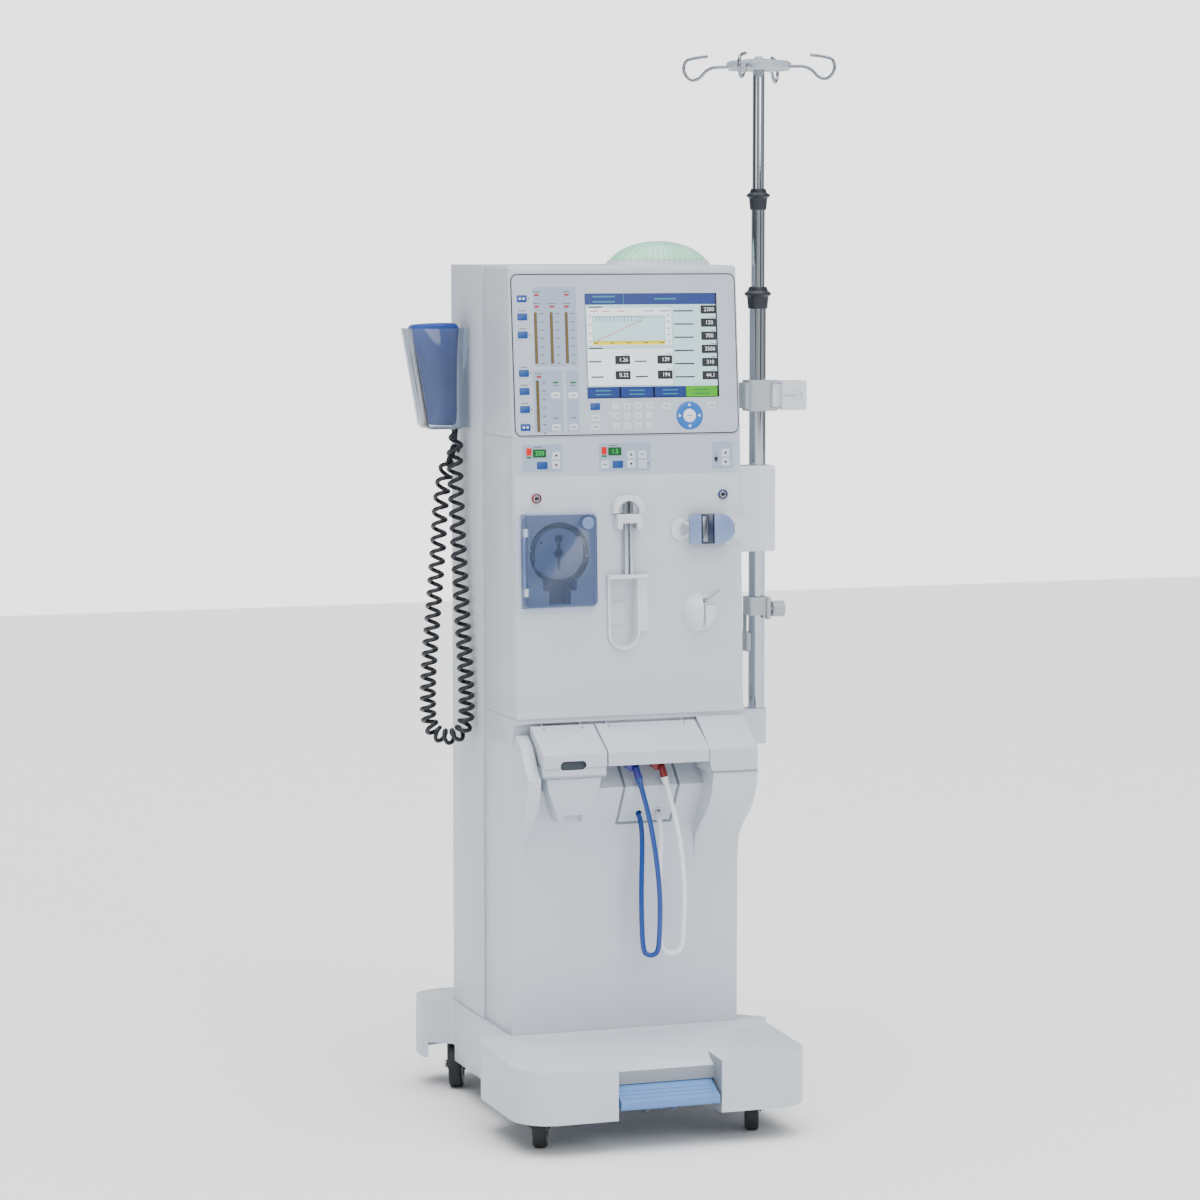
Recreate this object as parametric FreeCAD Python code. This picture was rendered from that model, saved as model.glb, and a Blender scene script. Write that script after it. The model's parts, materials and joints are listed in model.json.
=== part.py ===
"""Dialysis machine on casters, with its console, blood pump, infusion pole and cuff hose.

Every separate physical piece is one node. Sizes are millimetres. The machine is drawn with its
base centred on X = 0, Y = 0, its front towards -Y and the floor at Z = 0, and the finished
pieces are moved so that the part's origin lies under the middle of its overall footprint.
"""
import FreeCAD
import Part
import math
import os

V = FreeCAD.Vector
X_AXIS = V(1, 0, 0)
Y_AXIS = V(0, 1, 0)
Z_AXIS = V(0, 0, 1)

# Clearances
SEAT_GAP = 0.3
RUNNING_GAP = 0.05
DOOR_GAP = 1.0

# Column and its mouldings
WALL = 3.5
COLUMN_HALF = 186.0
REAR_PROUD = 3.0
REAR_HALF = COLUMN_HALF + REAR_PROUD
COLUMN_FRONT = -103.0
COLUMN_REAR = 202.0
SPLIT_Y = 30.0
COLUMN_FOOT = 147.0
MID_BOTTOM = 384.0
MID_TOP = 640.0
MONITOR_BOTTOM = 1070.0
HEAD_TOP = 1330.0
HEAD_ROUND = 10.0
EDGE_ROUND = 6.0

# Front face of the blood module: it leans back as it rises
MODULE_Y = -130.0
MODULE_LEAN = 2.3
# Front face of the monitor
MONITOR_Y = -113.0
MONITOR_LEAN = 5.3

# Console and module panels
PANEL_MARGIN = 4.0
PANEL_HALF = COLUMN_HALF - PANEL_MARGIN
PANEL_INSET = 1.2
PANEL_THICK = 2.0
PANEL_CORNER = 8.0
CONSOLE_HEIGHT = 246.0
STRIP_BOTTOM = 1013.0
STRIP_TOP = 1067.0
SCREEN_X = 43.5
SCREEN_Z = 1208.0
SCREEN_WIDTH = 215.0
SCREEN_HEIGHT = 160.0
SCREEN_THICK = 1.6

# Status lamp
LAMP_X = COLUMN_HALF - 102.0
LAMP_Y = -14.0
LAMP_HALF = 78.0
LAMP_DEPTH_HALF = 50.0
LAMP_BASE = 1338.0
LAMP_TOP = 1367.0
PLINTH_HALF = 87.0

# Middle housing: couplings bay, covers and cheeks
BAY_LEFT = 20.0 - COLUMN_HALF
COVER_SPLIT_LEFT = BAY_LEFT + 105.0
COVER_SPLIT_RIGHT = COLUMN_HALF - 81.0
COVER_SEAM = 3.0
COVER_FRONT = -194.0
COVER_REAR_TOP = MID_TOP - 10.0
COVER_FALL = 35.0
COVER_BREAK = COVER_REAR_TOP - COVER_FALL
COVER_LIP = 22.0
COVER_LIP_BOTTOM = COVER_BREAK - COVER_LIP
COVER_WALL = 3.0
COVER_PIN_R = 1.5
LUG_WIDTH = 2.6
FIXED_COVER_DROP = 40.0
FIXED_COVER_BOTTOM = COVER_BREAK - FIXED_COVER_DROP
RIDGE_Y = -144.0
RIDGE_Z = 532.0
BAY_FOOT = 465.0
BAY_BACK_Y = -110.0
BAY_BACK_Z = 566.0
HOLDER_SEAM = 557.0
SPOUT_BOTTOM = 481.0
CONNECTOR_PANEL_LEFT = -18.0
CONNECTOR_PANEL_RIGHT = 74.0
CONNECTOR_PANEL_THICK = 2.5
GASKET_WIDTH = 3.5
TUBE_D = 8.0
BLUE_X = 16.0
WHITE_X = 47.0
BLUE_COUPLING_X = -5.0
RED_COUPLING_X = 37.0
COUPLING_Z = 576.0
HOLE_Z = 487.0

# Blood pump
PUMP_X = 70.0 - COLUMN_HALF
PUMP_Z = 893.0
PUMP_LEFT = PUMP_X - 68.0
PUMP_RIGHT = PUMP_X + 62.0
PUMP_BOTTOM = 805.0
PUMP_TOP = 958.0
PUMP_PROUD = 8.0
RACEWAY_R = 48.0
RACEWAY_DEPTH = 24.0
ROTOR_R = 39.0
ROTOR_PLATE = 3.0
ROTOR_DEPTH = 20.0
ROLLER_R = 8.0
ROLLER_CENTRE_R = 34.5
ROLLER_PIN_R = 2.5
ROLLER_ANGLE = 28.0
ROTOR_SHAFT_R = 6.0
PUMP_WALL = 5.0
DOOR_LEFT = PUMP_X - 60.0
DOOR_RIGHT = PUMP_X + 58.5
DOOR_BOTTOM = 811.5
DOOR_TOP = 952.5
DOOR_THICK = 3.0
DOOR_RIM = 1.6
DOOR_AXIS_INSET = 4.5
DOOR_CORNER = 9.0
DOOR_PIN_R = 1.6
DOOR_HINGE_ZS = (926.0, 835.0)
DOOR_LUG_HEIGHT = 12.0
KNOB_X = PUMP_X + 44.0
KNOB_Z = 939.0
KNOB_R = 9.5
KNOB_HEIGHT = 6.0
KNOB_SHAFT_R = 3.0
PORT_XS = (PUMP_X - 33.6, COLUMN_HALF - 32.2)
PORT_Z = 977.5
PORT_R = 7.5
LUER_R = 2.0
LUER_LENGTH = 7.5

# Heparin pump
HEPARIN_X = -4.0
ROD_R = 3.6
ROD_PITCH = 8.6
ROD_OUT = 8.0
HEAD_HALF = 25.0
HEAD_BOTTOM = 952.0
HEAD_ARCH_TOP = 980.0
SLIDER_HALF = 20.0
SLIDER_BOTTOM = 928.0
SLIDER_TOP = 951.0
SLIDER_OUT = 17.0
CRADLE_X = -11.5
CRADLE_HALF = 26.0
CRADLE_BOTTOM = 742.0
CRADLE_TOP = 857.0
CRADLE_PROUD = 5.0
CRADLE_DEPTH = 26.0

# Air detector and line clamp
DETECTOR_X = COLUMN_HALF - 59.0
DETECTOR_Z = 925.0
DETECTOR_HALF = 60.0
DETECTOR_HEIGHT = 46.0
DETECTOR_PROUD = 12.0
DETECTOR_HINGE_X = DETECTOR_X - 35.0
DETECTOR_COVER_RIGHT = DETECTOR_X + 39.0
DETECTOR_COVER_THICK = 7.0
CLAMP_X = COLUMN_HALF - 73.0
CLAMP_Z = 797.0
CLAMP_R = 30.0
CLAMP_PROUD = 22.0
CLAMP_SLOT = 5.0

# Infusion pole
POLE_OFFSET = 46.0
POLE_X = COLUMN_HALF + POLE_OFFSET
POLE_Y = -64.0
LOWER_TUBE_R = 13.0
MIDDLE_TUBE_R = 10.5
TOP_TUBE_R = 9.2
TUBE_WALL = 1.2
SOCKET_BOTTOM = 580.0
SOCKET_TOP = 635.0
SOCKET_R = 16.0
LOWER_COLLAR = (1262.0, 1296.0)
UPPER_COLLAR = (1415.0, 1448.0)
MIDDLE_TUBE_BOTTOM = 980.0
TOP_TUBE_BOTTOM = 1180.0
HUB_Z = 1639.0
HUB_R = 50.0
HUB_HALF = 9.0
HOOK_WIRE_R = 2.5
HOOK_TURN = 36.0
HOOK_REACH = 124.0

# Pole fittings
BRACKET = (884.0, 1018.0)
BRACKET_RIGHT = POLE_X + 23.0
HOLDER = (1104.0, 1150.0)
SMALL_CLAMP = (783.0, 811.0)

# Base and casters
BASE_HALF_X = 235.0
BASE_HALF_Y = 306.0
BASE_BOTTOM = 51.0
BASE_WALL = 3.5
BASE_CORNER = 60.0
WAIST_HALF = COLUMN_HALF + 8.0
FRONT_BLOCK = 211.0
REAR_BLOCK = 92.0
WAIST_FRONT = FRONT_BLOCK + 37.0 - BASE_HALF_Y
WAIST_REAR = BASE_HALF_Y - REAR_BLOCK - 30.0
NOTCH_HALF = 83.0
NOTCH_DEPTH = 34.0
BEAM_FRONT = NOTCH_DEPTH - BASE_HALF_Y
FRAME_Z = 98.0
FRAME_PLATE = 5.0
SWIVEL_X = 172.0
SWIVEL_FRONT_INSET = 102.0
SWIVEL_REAR_INSET = 78.0
SWIVEL_YS = (SWIVEL_FRONT_INSET - BASE_HALF_Y, BASE_HALF_Y - SWIVEL_REAR_INSET)
WHEEL_R = 37.0
WHEEL_HALF = 11.0
CASTER_TRAIL = 20.0
CASTER_TURN = 22.0
STEM_R = 6.0
AXLE_R = 4.0
FORK_WALL = 3.0
PEDAL_HALF = 79.0
PEDAL_PROUD = 3.0
PEDAL_FRONT = -BASE_HALF_Y - PEDAL_PROUD
PEDAL_PIVOT_Y = BEAM_FRONT + 10.0
PEDAL_PIVOT_Z = 92.0
PEDAL_PIVOT_R = 5.0

# Left side: basket, cuff and curly hose
BASKET_LEFT_TOP = -REAR_HALF - 97.0
BASKET_LEFT_BOTTOM = -REAR_HALF - 69.0
BASKET_FRONT = 91.0
BASKET_REAR = 148.0
BASKET_BOTTOM = 1074.0
BASKET_TOP = 1231.0
BASKET_WALL = 2.5
CUFF_TOP = 1240.0
CUFF_BOTTOM = BASKET_BOTTOM + BASKET_WALL + SEAT_GAP
HOSE_D = 27.0
HOSE_PORT = (-REAR_HALF, 156.0, 1042.0)


def box(x0, x1, y0, y1, z0, z1):
    return Part.makeBox(x1 - x0, y1 - y0, z1 - z0, V(x0, y0, z0))


def rod(radius, start, end):
    axis = end - start
    return Part.makeCylinder(radius, axis.Length, start, axis)


def tube(outer, inner, start, end):
    return rod(outer, start, end).cut(rod(inner, start, end))


def cone(r0, r1, start, end):
    axis = end - start
    return Part.makeCone(r0, r1, axis.Length, start, axis)


def plate(points, direction):
    """Extrude a closed outline of points along a direction."""
    outline = Part.makePolygon(points + [points[0]])
    return Part.Face(outline).extrude(direction)


def prism_x(profile, x0, x1):
    """Extrude a (y, z) outline from x0 to x1."""
    return plate([V(x0, y, z) for y, z in profile], V(x1 - x0, 0, 0))


def prism_y(profile, y0, y1):
    """Extrude an (x, z) outline from y0 to y1."""
    return plate([V(x, y0, z) for x, z in profile], V(0, y1 - y0, 0))


def prism_z(profile, z0, z1):
    """Extrude an (x, y) outline from z0 to z1."""
    return plate([V(x, y, z0) for x, y in profile], V(0, 0, z1 - z0))


def edges_along(shape, axis, wanted=None):
    """Straight edges parallel to an axis whose middle passes the wanted test."""
    found = []
    for edge in shape.Edges:
        if not isinstance(edge.Curve, Part.Line):
            continue
        run = edge.Vertexes[-1].Point - edge.Vertexes[0].Point
        if run.cross(axis).Length > 1e-6 * run.Length:
            continue
        if wanted is None or wanted(edge.CenterOfMass):
            found.append(edge)
    return found


def rounded(shape, radius, axis, wanted=None):
    return shape.makeFillet(radius, edges_along(shape, axis, wanted))


def slab(x0, x1, y0, y1, z0, z1, corner):
    """A plate facing the front, with its four corners rounded as seen from there."""
    return rounded(box(x0, x1, y0, y1, z0, z1), corner, Y_AXIS)


def fuse(first, *others):
    return first.multiFuse(list(others)).removeSplitter()


def leaned(shape, y, z, angle):
    """Lean a piece that was drawn upright back about the foot of its face."""
    moved = shape.copy()
    moved.rotate(V(0, y, z), X_AXIS, -angle)
    return moved


def on_module(shape):
    return leaned(shape, MODULE_Y, MID_TOP, MODULE_LEAN)


def on_monitor(shape):
    return leaned(shape, MONITOR_Y, MONITOR_BOTTOM, MONITOR_LEAN)


def leaning_y(y, z, angle, height):
    """Y of a leaning face at a height above the floor."""
    return y + (height - z) * math.tan(math.radians(angle))


def curved_prism_x(curve, closing, x0, x1):
    """Extrude a (y, z) outline made of one smooth curve that straight lines close."""
    spline = Part.BSplineCurve()
    spline.interpolate([V(x0, y, z) for y, z in curve])
    corners = [V(x0, y, z) for y, z in [curve[-1]] + closing + [curve[0]]]
    sides = Part.makePolygon(corners)
    outline = Part.Wire([spline.toShape()] + sides.Edges)
    return Part.Face(outline).extrude(V(x1 - x0, 0, 0))


def turned(profile, centre):
    """Revolve an (r, z) outline about a vertical line through centre."""
    outline = Part.makePolygon([V(r, 0, z) for r, z in profile + [profile[0]]])
    shape = Part.Face(outline).revolve(V(0, 0, 0), Z_AXIS, 360)
    shape.translate(V(centre.x, centre.y, 0))
    return shape


def bent_path(points):
    """Straight runs joined by tangent arcs, each as large as its two runs allow."""
    edges = []
    radii = []
    start = points[0]
    for before, corner, after in zip(points, points[1:], points[2:]):
        into = corner - before
        out = after - corner
        trim = 0.45 * min(into.Length, out.Length)
        turn = into.getAngle(out)
        radius = trim / math.tan(turn / 2)
        into.normalize()
        out.normalize()
        first = corner - into * trim
        last = corner + out * trim
        inward = out - into
        inward.normalize()
        centre = corner + inward * (radius / math.cos(turn / 2))
        middle = centre - inward * radius
        edges.append(Part.makeLine(start, first))
        edges.append(Part.Arc(first, middle, last).toShape())
        radii.append(radius)
        start = last
    edges.append(Part.makeLine(start, points[-1]))
    return Part.Wire(edges), radii


def bent_rod(points, radius):
    """A round bar or tube along a bent path."""
    path, radii = bent_path(points)
    section = Part.Wire(Part.makeCircle(radius, points[0], points[1] - points[0]))
    swept = path.makePipeShell([section], True, False)
    return swept, path.Length, radii


def cord(name, points, diameter):
    solid, length, radii = bent_rod(points, diameter / 2)
    expected = math.pi * diameter ** 2 / 4 * length
    print(name, "length", round(length), "radii", [round(r) for r in radii])
    print(name, "volume over section times length", round(solid.Volume / expected, 4))
    return solid


# Base: moulded cover, steel frame, four swivel casters and the brake pedal

def base_plan(inset):
    """Half of the cover's outline, right of the middle, from front to rear."""
    side = BASE_HALF_X - inset
    waist = WAIST_HALF - inset
    return [(0, -BASE_HALF_Y + inset), (side, -BASE_HALF_Y + inset), (side, FRONT_BLOCK - BASE_HALF_Y - inset),
            (waist, WAIST_FRONT - inset), (waist, WAIST_REAR + inset), (side, BASE_HALF_Y - REAR_BLOCK + inset),
            (side, BASE_HALF_Y - inset), (0, BASE_HALF_Y - inset)]


def base_volume(inset, bottom):
    right = prism_z(base_plan(inset), bottom, COLUMN_FOOT)
    left = right.mirror(V(0, 0, 0), X_AXIS)
    whole = fuse(right, left)
    corner_round = BASE_CORNER - inset
    whole = rounded(whole, corner_round, Z_AXIS, lambda p: abs(p.y) > BASE_HALF_Y - inset - 1)
    whole = rounded(whole, 12, Z_AXIS, lambda p: abs(p.y) < BASE_HALF_Y - BASE_CORNER - 1)
    reach = BASE_HALF_Y + 4
    top = [(-reach, 0), (-reach, COLUMN_FOOT - 16 - inset), (COLUMN_FRONT - 3, COLUMN_FOOT - 7 - inset),
           (COLUMN_FRONT - 1, COLUMN_FOOT - SEAT_GAP - inset), (COLUMN_REAR + 4, COLUMN_FOOT - SEAT_GAP - inset),
           (reach, COLUMN_FOOT - 4 - inset), (reach, 0)]
    return whole.common(prism_x(top, -BASE_HALF_X - 5, BASE_HALF_X + 5))


def notch(gap):
    """The space for the pedal between the front blocks, grown by a gap."""
    half = NOTCH_HALF + gap
    front = BEAM_FRONT + gap
    foot = box(-half, half, -BASE_HALF_Y - 14, front, 0, COLUMN_FOOT)
    slope = prism_x([(-BASE_HALF_Y - 14, 118 - gap), (front, 118 - gap), (front + 34, 137.5 - gap),
                     (front + 34, 160), (-BASE_HALF_Y - 14, 160)], -half, half)
    return foot.fuse(slope)


def base_cover():
    outer = base_volume(0, BASE_BOTTOM).cut(notch(0))
    inner = base_volume(BASE_WALL, BASE_BOTTOM - 1).cut(notch(BASE_WALL))
    shell = outer.cut(inner)
    beam_cut = box(-NOTCH_HALF, NOTCH_HALF, BEAM_FRONT - 1, BEAM_FRONT + BASE_WALL + 1, 0, 98)
    shell = shell.cut(beam_cut)
    sweep = math.hypot(CASTER_TRAIL + WHEEL_R, WHEEL_HALF) + 1
    for x, y in swivel_places():
        shell = shell.cut(rod(sweep, V(x, y, 0), V(x, y, 2 * WHEEL_R + 2)))
    return shell


def swivel_places():
    return [(sx * SWIVEL_X, y) for y in SWIVEL_YS for sx in (-1, 1)]


def base_frame():
    parts = []
    rail_half = 14.0
    for side in (-1, 1):
        x = side * 150
        parts.append(box(x - rail_half, x + rail_half, 66 - BASE_HALF_Y, BASE_HALF_Y - 44, FRAME_Z, FRAME_Z + 22))
    for y in SWIVEL_YS:
        parts.append(box(-SWIVEL_X - 24, SWIVEL_X + 24, y - 22, y + 22, FRAME_Z - 6, FRAME_Z))
        parts.append(box(-150, 150, y - 10, y + 10, FRAME_Z, FRAME_Z + 22))
    for x, y in swivel_places():
        parts.append(rod(12, V(x, y, FRAME_Z - 6), V(x, y, FRAME_Z + 24)))
    for side in (-1, 1):
        lug = box(side * 88 - 4, side * 88 + 4, PEDAL_PIVOT_Y - 6, PEDAL_PIVOT_Y + 62, FRAME_Z - 16, FRAME_Z + 10)
        parts.append(lug)
    parts.append(box(-92, 92, PEDAL_PIVOT_Y + 36, PEDAL_PIVOT_Y + 48, FRAME_Z - 6, FRAME_Z + 10))
    frame = fuse(parts[0], *parts[1:])
    for x, y in swivel_places():
        bore = rod(STEM_R + RUNNING_GAP, V(x, y, 0), V(x, y, COLUMN_FOOT))
        frame = frame.cut(bore)
    pivot = rod(PEDAL_PIVOT_R + RUNNING_GAP, V(-100, PEDAL_PIVOT_Y, PEDAL_PIVOT_Z),
                V(100, PEDAL_PIVOT_Y, PEDAL_PIVOT_Z))
    return frame.cut(pivot)


def caster_turned(shape, x, y):
    moved = shape.copy()
    moved.rotate(V(x, y, 0), Z_AXIS, -CASTER_TURN)
    return moved


def caster_fork(x, y):
    crown_z = 2 * WHEEL_R + 4
    axle_y = y - CASTER_TRAIL
    leg_in = WHEEL_HALF + 0.8
    leg_out = leg_in + FORK_WALL
    crown_top = FRAME_Z - FRAME_PLATE - 1 - SEAT_GAP
    crown = rod(17, V(x, y, crown_z), V(x, y, crown_top))
    roof = box(x - leg_out, x + leg_out, axle_y - 12, y + 12, crown_z, crown_z + 3)
    legs = []
    for side in (-1, 1):
        a = x + side * leg_in
        b = x + side * leg_out
        outline = [V(a, y + 12, crown_z), V(a, axle_y + 9, WHEEL_R - 4), V(a, axle_y, WHEEL_R - 9),
                   V(a, axle_y - 9, WHEEL_R - 4), V(a, axle_y - 12, crown_z)]
        legs.append(plate(outline, V(b - a, 0, 0)))
    stem = rod(STEM_R, V(x, y, crown_top), V(x, y, FRAME_Z + 20))
    axle = rod(AXLE_R, V(x - leg_out - 1, axle_y, WHEEL_R), V(x + leg_out + 1, axle_y, WHEEL_R))
    return caster_turned(fuse(crown, roof, legs[0], legs[1], stem, axle), x, y)


def caster_wheel(x, y):
    """A rubber tyre on a hub whose dished disc faces outwards."""
    centre_y = y - CASTER_TRAIL
    at = V(x, centre_y, WHEEL_R)
    hub_r = 25.0
    tyre = tube(WHEEL_R, hub_r, at - X_AXIS * WHEEL_HALF, at + X_AXIS * WHEEL_HALF)
    round_edges = [e for e in tyre.Edges if isinstance(e.Curve, Part.Circle) and e.Curve.Radius > hub_r + 1]
    tyre = tyre.makeFillet(5, round_edges)
    hub = tube(hub_r, AXLE_R + RUNNING_GAP, at - X_AXIS * WHEEL_HALF, at + X_AXIS * WHEEL_HALF)
    for side in (-1, 1):
        face = at + X_AXIS * side * WHEEL_HALF
        hub = hub.cut(tube(hub_r - 4, 9, face, face - X_AXIS * side * 3))
    return caster_turned(Part.makeCompound([tyre, hub]), x, y)


def brake_pedal():
    top = [(BEAM_FRONT - 1, 96), (PEDAL_FRONT, 78.5), (PEDAL_FRONT, 70), (PEDAL_FRONT + 3, 66),
           (BEAM_FRONT - 1, 84), (PEDAL_PIVOT_Y - 4, 86), (PEDAL_PIVOT_Y - 4, 98)]
    body = prism_x(top, -PEDAL_HALF, PEDAL_HALF)
    groove_pitch = 8.0
    lean = math.atan2(96 - 78.5, BEAM_FRONT - 1 - PEDAL_FRONT)
    for step in (1, 2, 3):
        y = PEDAL_FRONT + step * groove_pitch
        z = 78.5 + step * groove_pitch * math.tan(lean)
        body = body.cut(rod(1.2, V(-PEDAL_HALF + 6, y, z), V(PEDAL_HALF - 6, y, z)))
    barrel = rod(PEDAL_PIVOT_R + 2.5, V(-PEDAL_HALF, PEDAL_PIVOT_Y, PEDAL_PIVOT_Z),
                 V(PEDAL_HALF, PEDAL_PIVOT_Y, PEDAL_PIVOT_Z))
    shaft = rod(PEDAL_PIVOT_R, V(-95, PEDAL_PIVOT_Y, PEDAL_PIVOT_Z), V(95, PEDAL_PIVOT_Y, PEDAL_PIVOT_Z))
    scallop_r = 11.0
    comb = box(-42, 42, PEDAL_PIVOT_Y - 2, PEDAL_PIVOT_Y + 2, 52, PEDAL_PIVOT_Z)
    for step in (-1.5, -0.5, 0.5, 1.5):
        centre = V(step * 2 * scallop_r, PEDAL_PIVOT_Y - 4, 50)
        comb = comb.cut(rod(scallop_r - 1.5, centre, centre + Y_AXIS * 8))
    return fuse(body, barrel, shaft, comb)


# Column: front moulding with the couplings bay and cheeks, rear cover, module and monitor housings

CHEEK_CURVE = [(COLUMN_FRONT, MID_BOTTOM), (-104.5, 420), (-112, 445), (-130, 466), (-149, 482),
               (-169, 502), (-184, RIDGE_Z), (-188, FIXED_COVER_BOTTOM - SEAT_GAP)]


def cheek(x0, x1, inset, top):
    curve = [(y + inset, z - inset / 2) for y, z in CHEEK_CURVE]
    return curved_prism_x(curve, top + [(SPLIT_Y, MID_BOTTOM - inset / 2)], x0, x1)


def front_volume(inset):
    """Outside of the front moulding, or its inside when inset by the wall."""
    half = COLUMN_HALF - inset
    over = 1.0 if inset else 0.0
    back = SPLIT_Y + over
    roof = MID_TOP - SEAT_GAP - inset
    column = box(-half, half, COLUMN_FRONT + inset, back, COLUMN_FOOT - over, BAY_FOOT)
    bay = prism_x([(back, MID_BOTTOM), (COLUMN_FRONT + inset, MID_BOTTOM), (COLUMN_FRONT + inset, BAY_FOOT),
                   (RIDGE_Y + inset, RIDGE_Z), (BAY_BACK_Y + inset, BAY_BACK_Z),
                   (BAY_BACK_Y + inset, MID_TOP - 12 + inset),
                   (MODULE_Y + 3 + 3 * inset, MID_TOP - 6 + 0.6 * inset),
                   (MODULE_Y + 3 + 3 * inset, roof), (back, roof)], -half, half)
    low_top = [(MODULE_Y + 6, FIXED_COVER_BOTTOM - SEAT_GAP - inset)]
    high_top = [(-176, MID_TOP - 74 - inset), (-150, MID_TOP - 40 - inset), (MODULE_Y + 6, MID_TOP - 24 - inset)]
    left = cheek(-half, BAY_LEFT - inset, inset, high_top)
    right = cheek(COVER_SPLIT_RIGHT + 8 + inset, half, inset, low_top)
    return fuse(column, bay, left, right)


def lower_front_cover():
    shell = front_volume(0).cut(front_volume(WALL))
    boss = fuse(box(COLUMN_HALF - 2, POLE_X, POLE_Y - SOCKET_R, POLE_Y + SOCKET_R, SOCKET_BOTTOM, SOCKET_TOP),
                rod(SOCKET_R, V(POLE_X, POLE_Y, SOCKET_BOTTOM), V(POLE_X, POLE_Y, SOCKET_TOP)))
    bore = rod(LOWER_TUBE_R + RUNNING_GAP, V(POLE_X, POLE_Y, SOCKET_BOTTOM + 6), V(POLE_X, POLE_Y, SOCKET_TOP + 1))
    outline = connector_outline(SEAT_GAP, COLUMN_FRONT - 60, COLUMN_FRONT + 20)
    holes = [rod(TUBE_D / 2 + 1, V(x, COLUMN_FRONT - 40, HOLE_Z), V(x, COLUMN_FRONT + 30, HOLE_Z))
             for x in (BLUE_X, WHITE_X)]
    recess = bay_skin(CONNECTOR_PANEL_THICK).common(outline)
    lugs = hinge_lugs(BAY_LEFT + 2, COVER_SPLIT_LEFT - COVER_SEAM / 2)
    lugs += hinge_lugs(COVER_SPLIT_LEFT + COVER_SEAM / 2, COVER_SPLIT_RIGHT - COVER_SEAM / 2)
    shell = fuse(shell, boss, *lugs).cut(bore).cut(recess)
    return shell.cut(holes[0]).cut(holes[1]).removeSplitter()


def bay_skin(thick, under=0.0):
    """A skin of the bay's front face, from a depth under it to another."""
    def face(shift):
        return [(COLUMN_FRONT + shift, 440), (COLUMN_FRONT + shift, BAY_FOOT), (RIDGE_Y + shift, RIDGE_Z),
                (BAY_BACK_Y + shift, BAY_BACK_Z), (BAY_BACK_Y + shift, 600)]
    outline = face(under) + face(thick)[::-1]
    return prism_x(outline, -COLUMN_HALF, COLUMN_HALF)


def connector_outline(grow, y0, y1):
    left = CONNECTOR_PANEL_LEFT - grow
    right = CONNECTOR_PANEL_RIGHT + grow
    outline = [(left, 468 - grow), (right, 468 - grow), (right, 590 + grow), (left, 590 + grow)]
    return prism_y(outline, y0, y1)


def connector_panel():
    """Folded panel that the couplings and tube outlets sit in."""
    inner = connector_outline(-GASKET_WIDTH - SEAT_GAP, -200, -60)
    skin = bay_skin(CONNECTOR_PANEL_THICK - SEAT_GAP).common(inner)
    for x in (BLUE_X, WHITE_X):
        skin = skin.cut(rod(TUBE_D / 2 + 1, V(x, -200, HOLE_Z), V(x, -60, HOLE_Z)))
    return skin


def panel_gasket():
    ring = connector_outline(0, -200, -60).cut(connector_outline(-GASKET_WIDTH, -200, -60))
    return bay_skin(CONNECTOR_PANEL_THICK - SEAT_GAP, -0.8).common(ring)


def rear_cover():
    front = SPLIT_Y + SEAT_GAP
    outer = box(-REAR_HALF, REAR_HALF, front, COLUMN_REAR, COLUMN_FOOT, HEAD_TOP)
    outer = rounded(outer, HEAD_ROUND, Z_AXIS, lambda p: p.y > COLUMN_REAR - 1)
    inner = box(-REAR_HALF + WALL, REAR_HALF - WALL, front - 1, COLUMN_REAR - WALL, COLUMN_FOOT - 1,
                HEAD_TOP - WALL)
    shell = outer.cut(inner)
    x, y, z = HOSE_PORT
    return shell.cut(rod(5, V(x - 2, y, z), V(x + 10, y, z)))


def module_housing():
    def volume(inset):
        over = 1.0 if inset else 0.0
        low = MID_TOP + SEAT_GAP + inset
        high = MONITOR_BOTTOM - SEAT_GAP + over
        front_low = leaning_y(MODULE_Y, MID_TOP, MODULE_LEAN, low) + inset
        front_high = leaning_y(MODULE_Y, MID_TOP, MODULE_LEAN, high) + inset
        half = COLUMN_HALF - inset
        return prism_x([(SPLIT_Y + over, low), (front_low, low), (front_high, high),
                        (SPLIT_Y + over, high)], -half, half)
    shell = rounded(volume(0), EDGE_ROUND, V(0, math.sin(math.radians(MODULE_LEAN)),
                    math.cos(math.radians(MODULE_LEAN))), lambda p: p.y < 0).cut(volume(WALL))
    pump = box(DOOR_LEFT + 3 - SEAT_GAP, DOOR_RIGHT - 3 + SEAT_GAP, MODULE_Y - 5, MODULE_Y + 8,
               DOOR_BOTTOM + 3 - SEAT_GAP, DOOR_TOP - 3 + SEAT_GAP)
    shell = shell.cut(on_module(pump))
    shell = shell.cut(on_module(cradle_outline(SEAT_GAP, MODULE_Y - 5, MODULE_Y + 8)))
    strip = slab(-PANEL_HALF - SEAT_GAP, PANEL_HALF + SEAT_GAP, MODULE_Y - 1, MODULE_Y + PANEL_INSET,
                 STRIP_BOTTOM - SEAT_GAP, STRIP_TOP + SEAT_GAP, PANEL_CORNER)
    shell = shell.cut(on_module(strip))
    grip = Part.makeSphere(60)
    for side in (-1, 1):
        dimple = grip.copy()
        dimple.translate(V(side * (COLUMN_HALF + 57.5), -84, 1018))
        shell = shell.cut(dimple)
    return shell


def module_panel():
    return on_module(slab(-PANEL_HALF, PANEL_HALF, MODULE_Y + PANEL_INSET - PANEL_THICK,
                          MODULE_Y + PANEL_INSET, STRIP_BOTTOM, STRIP_TOP, PANEL_CORNER))


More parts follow.
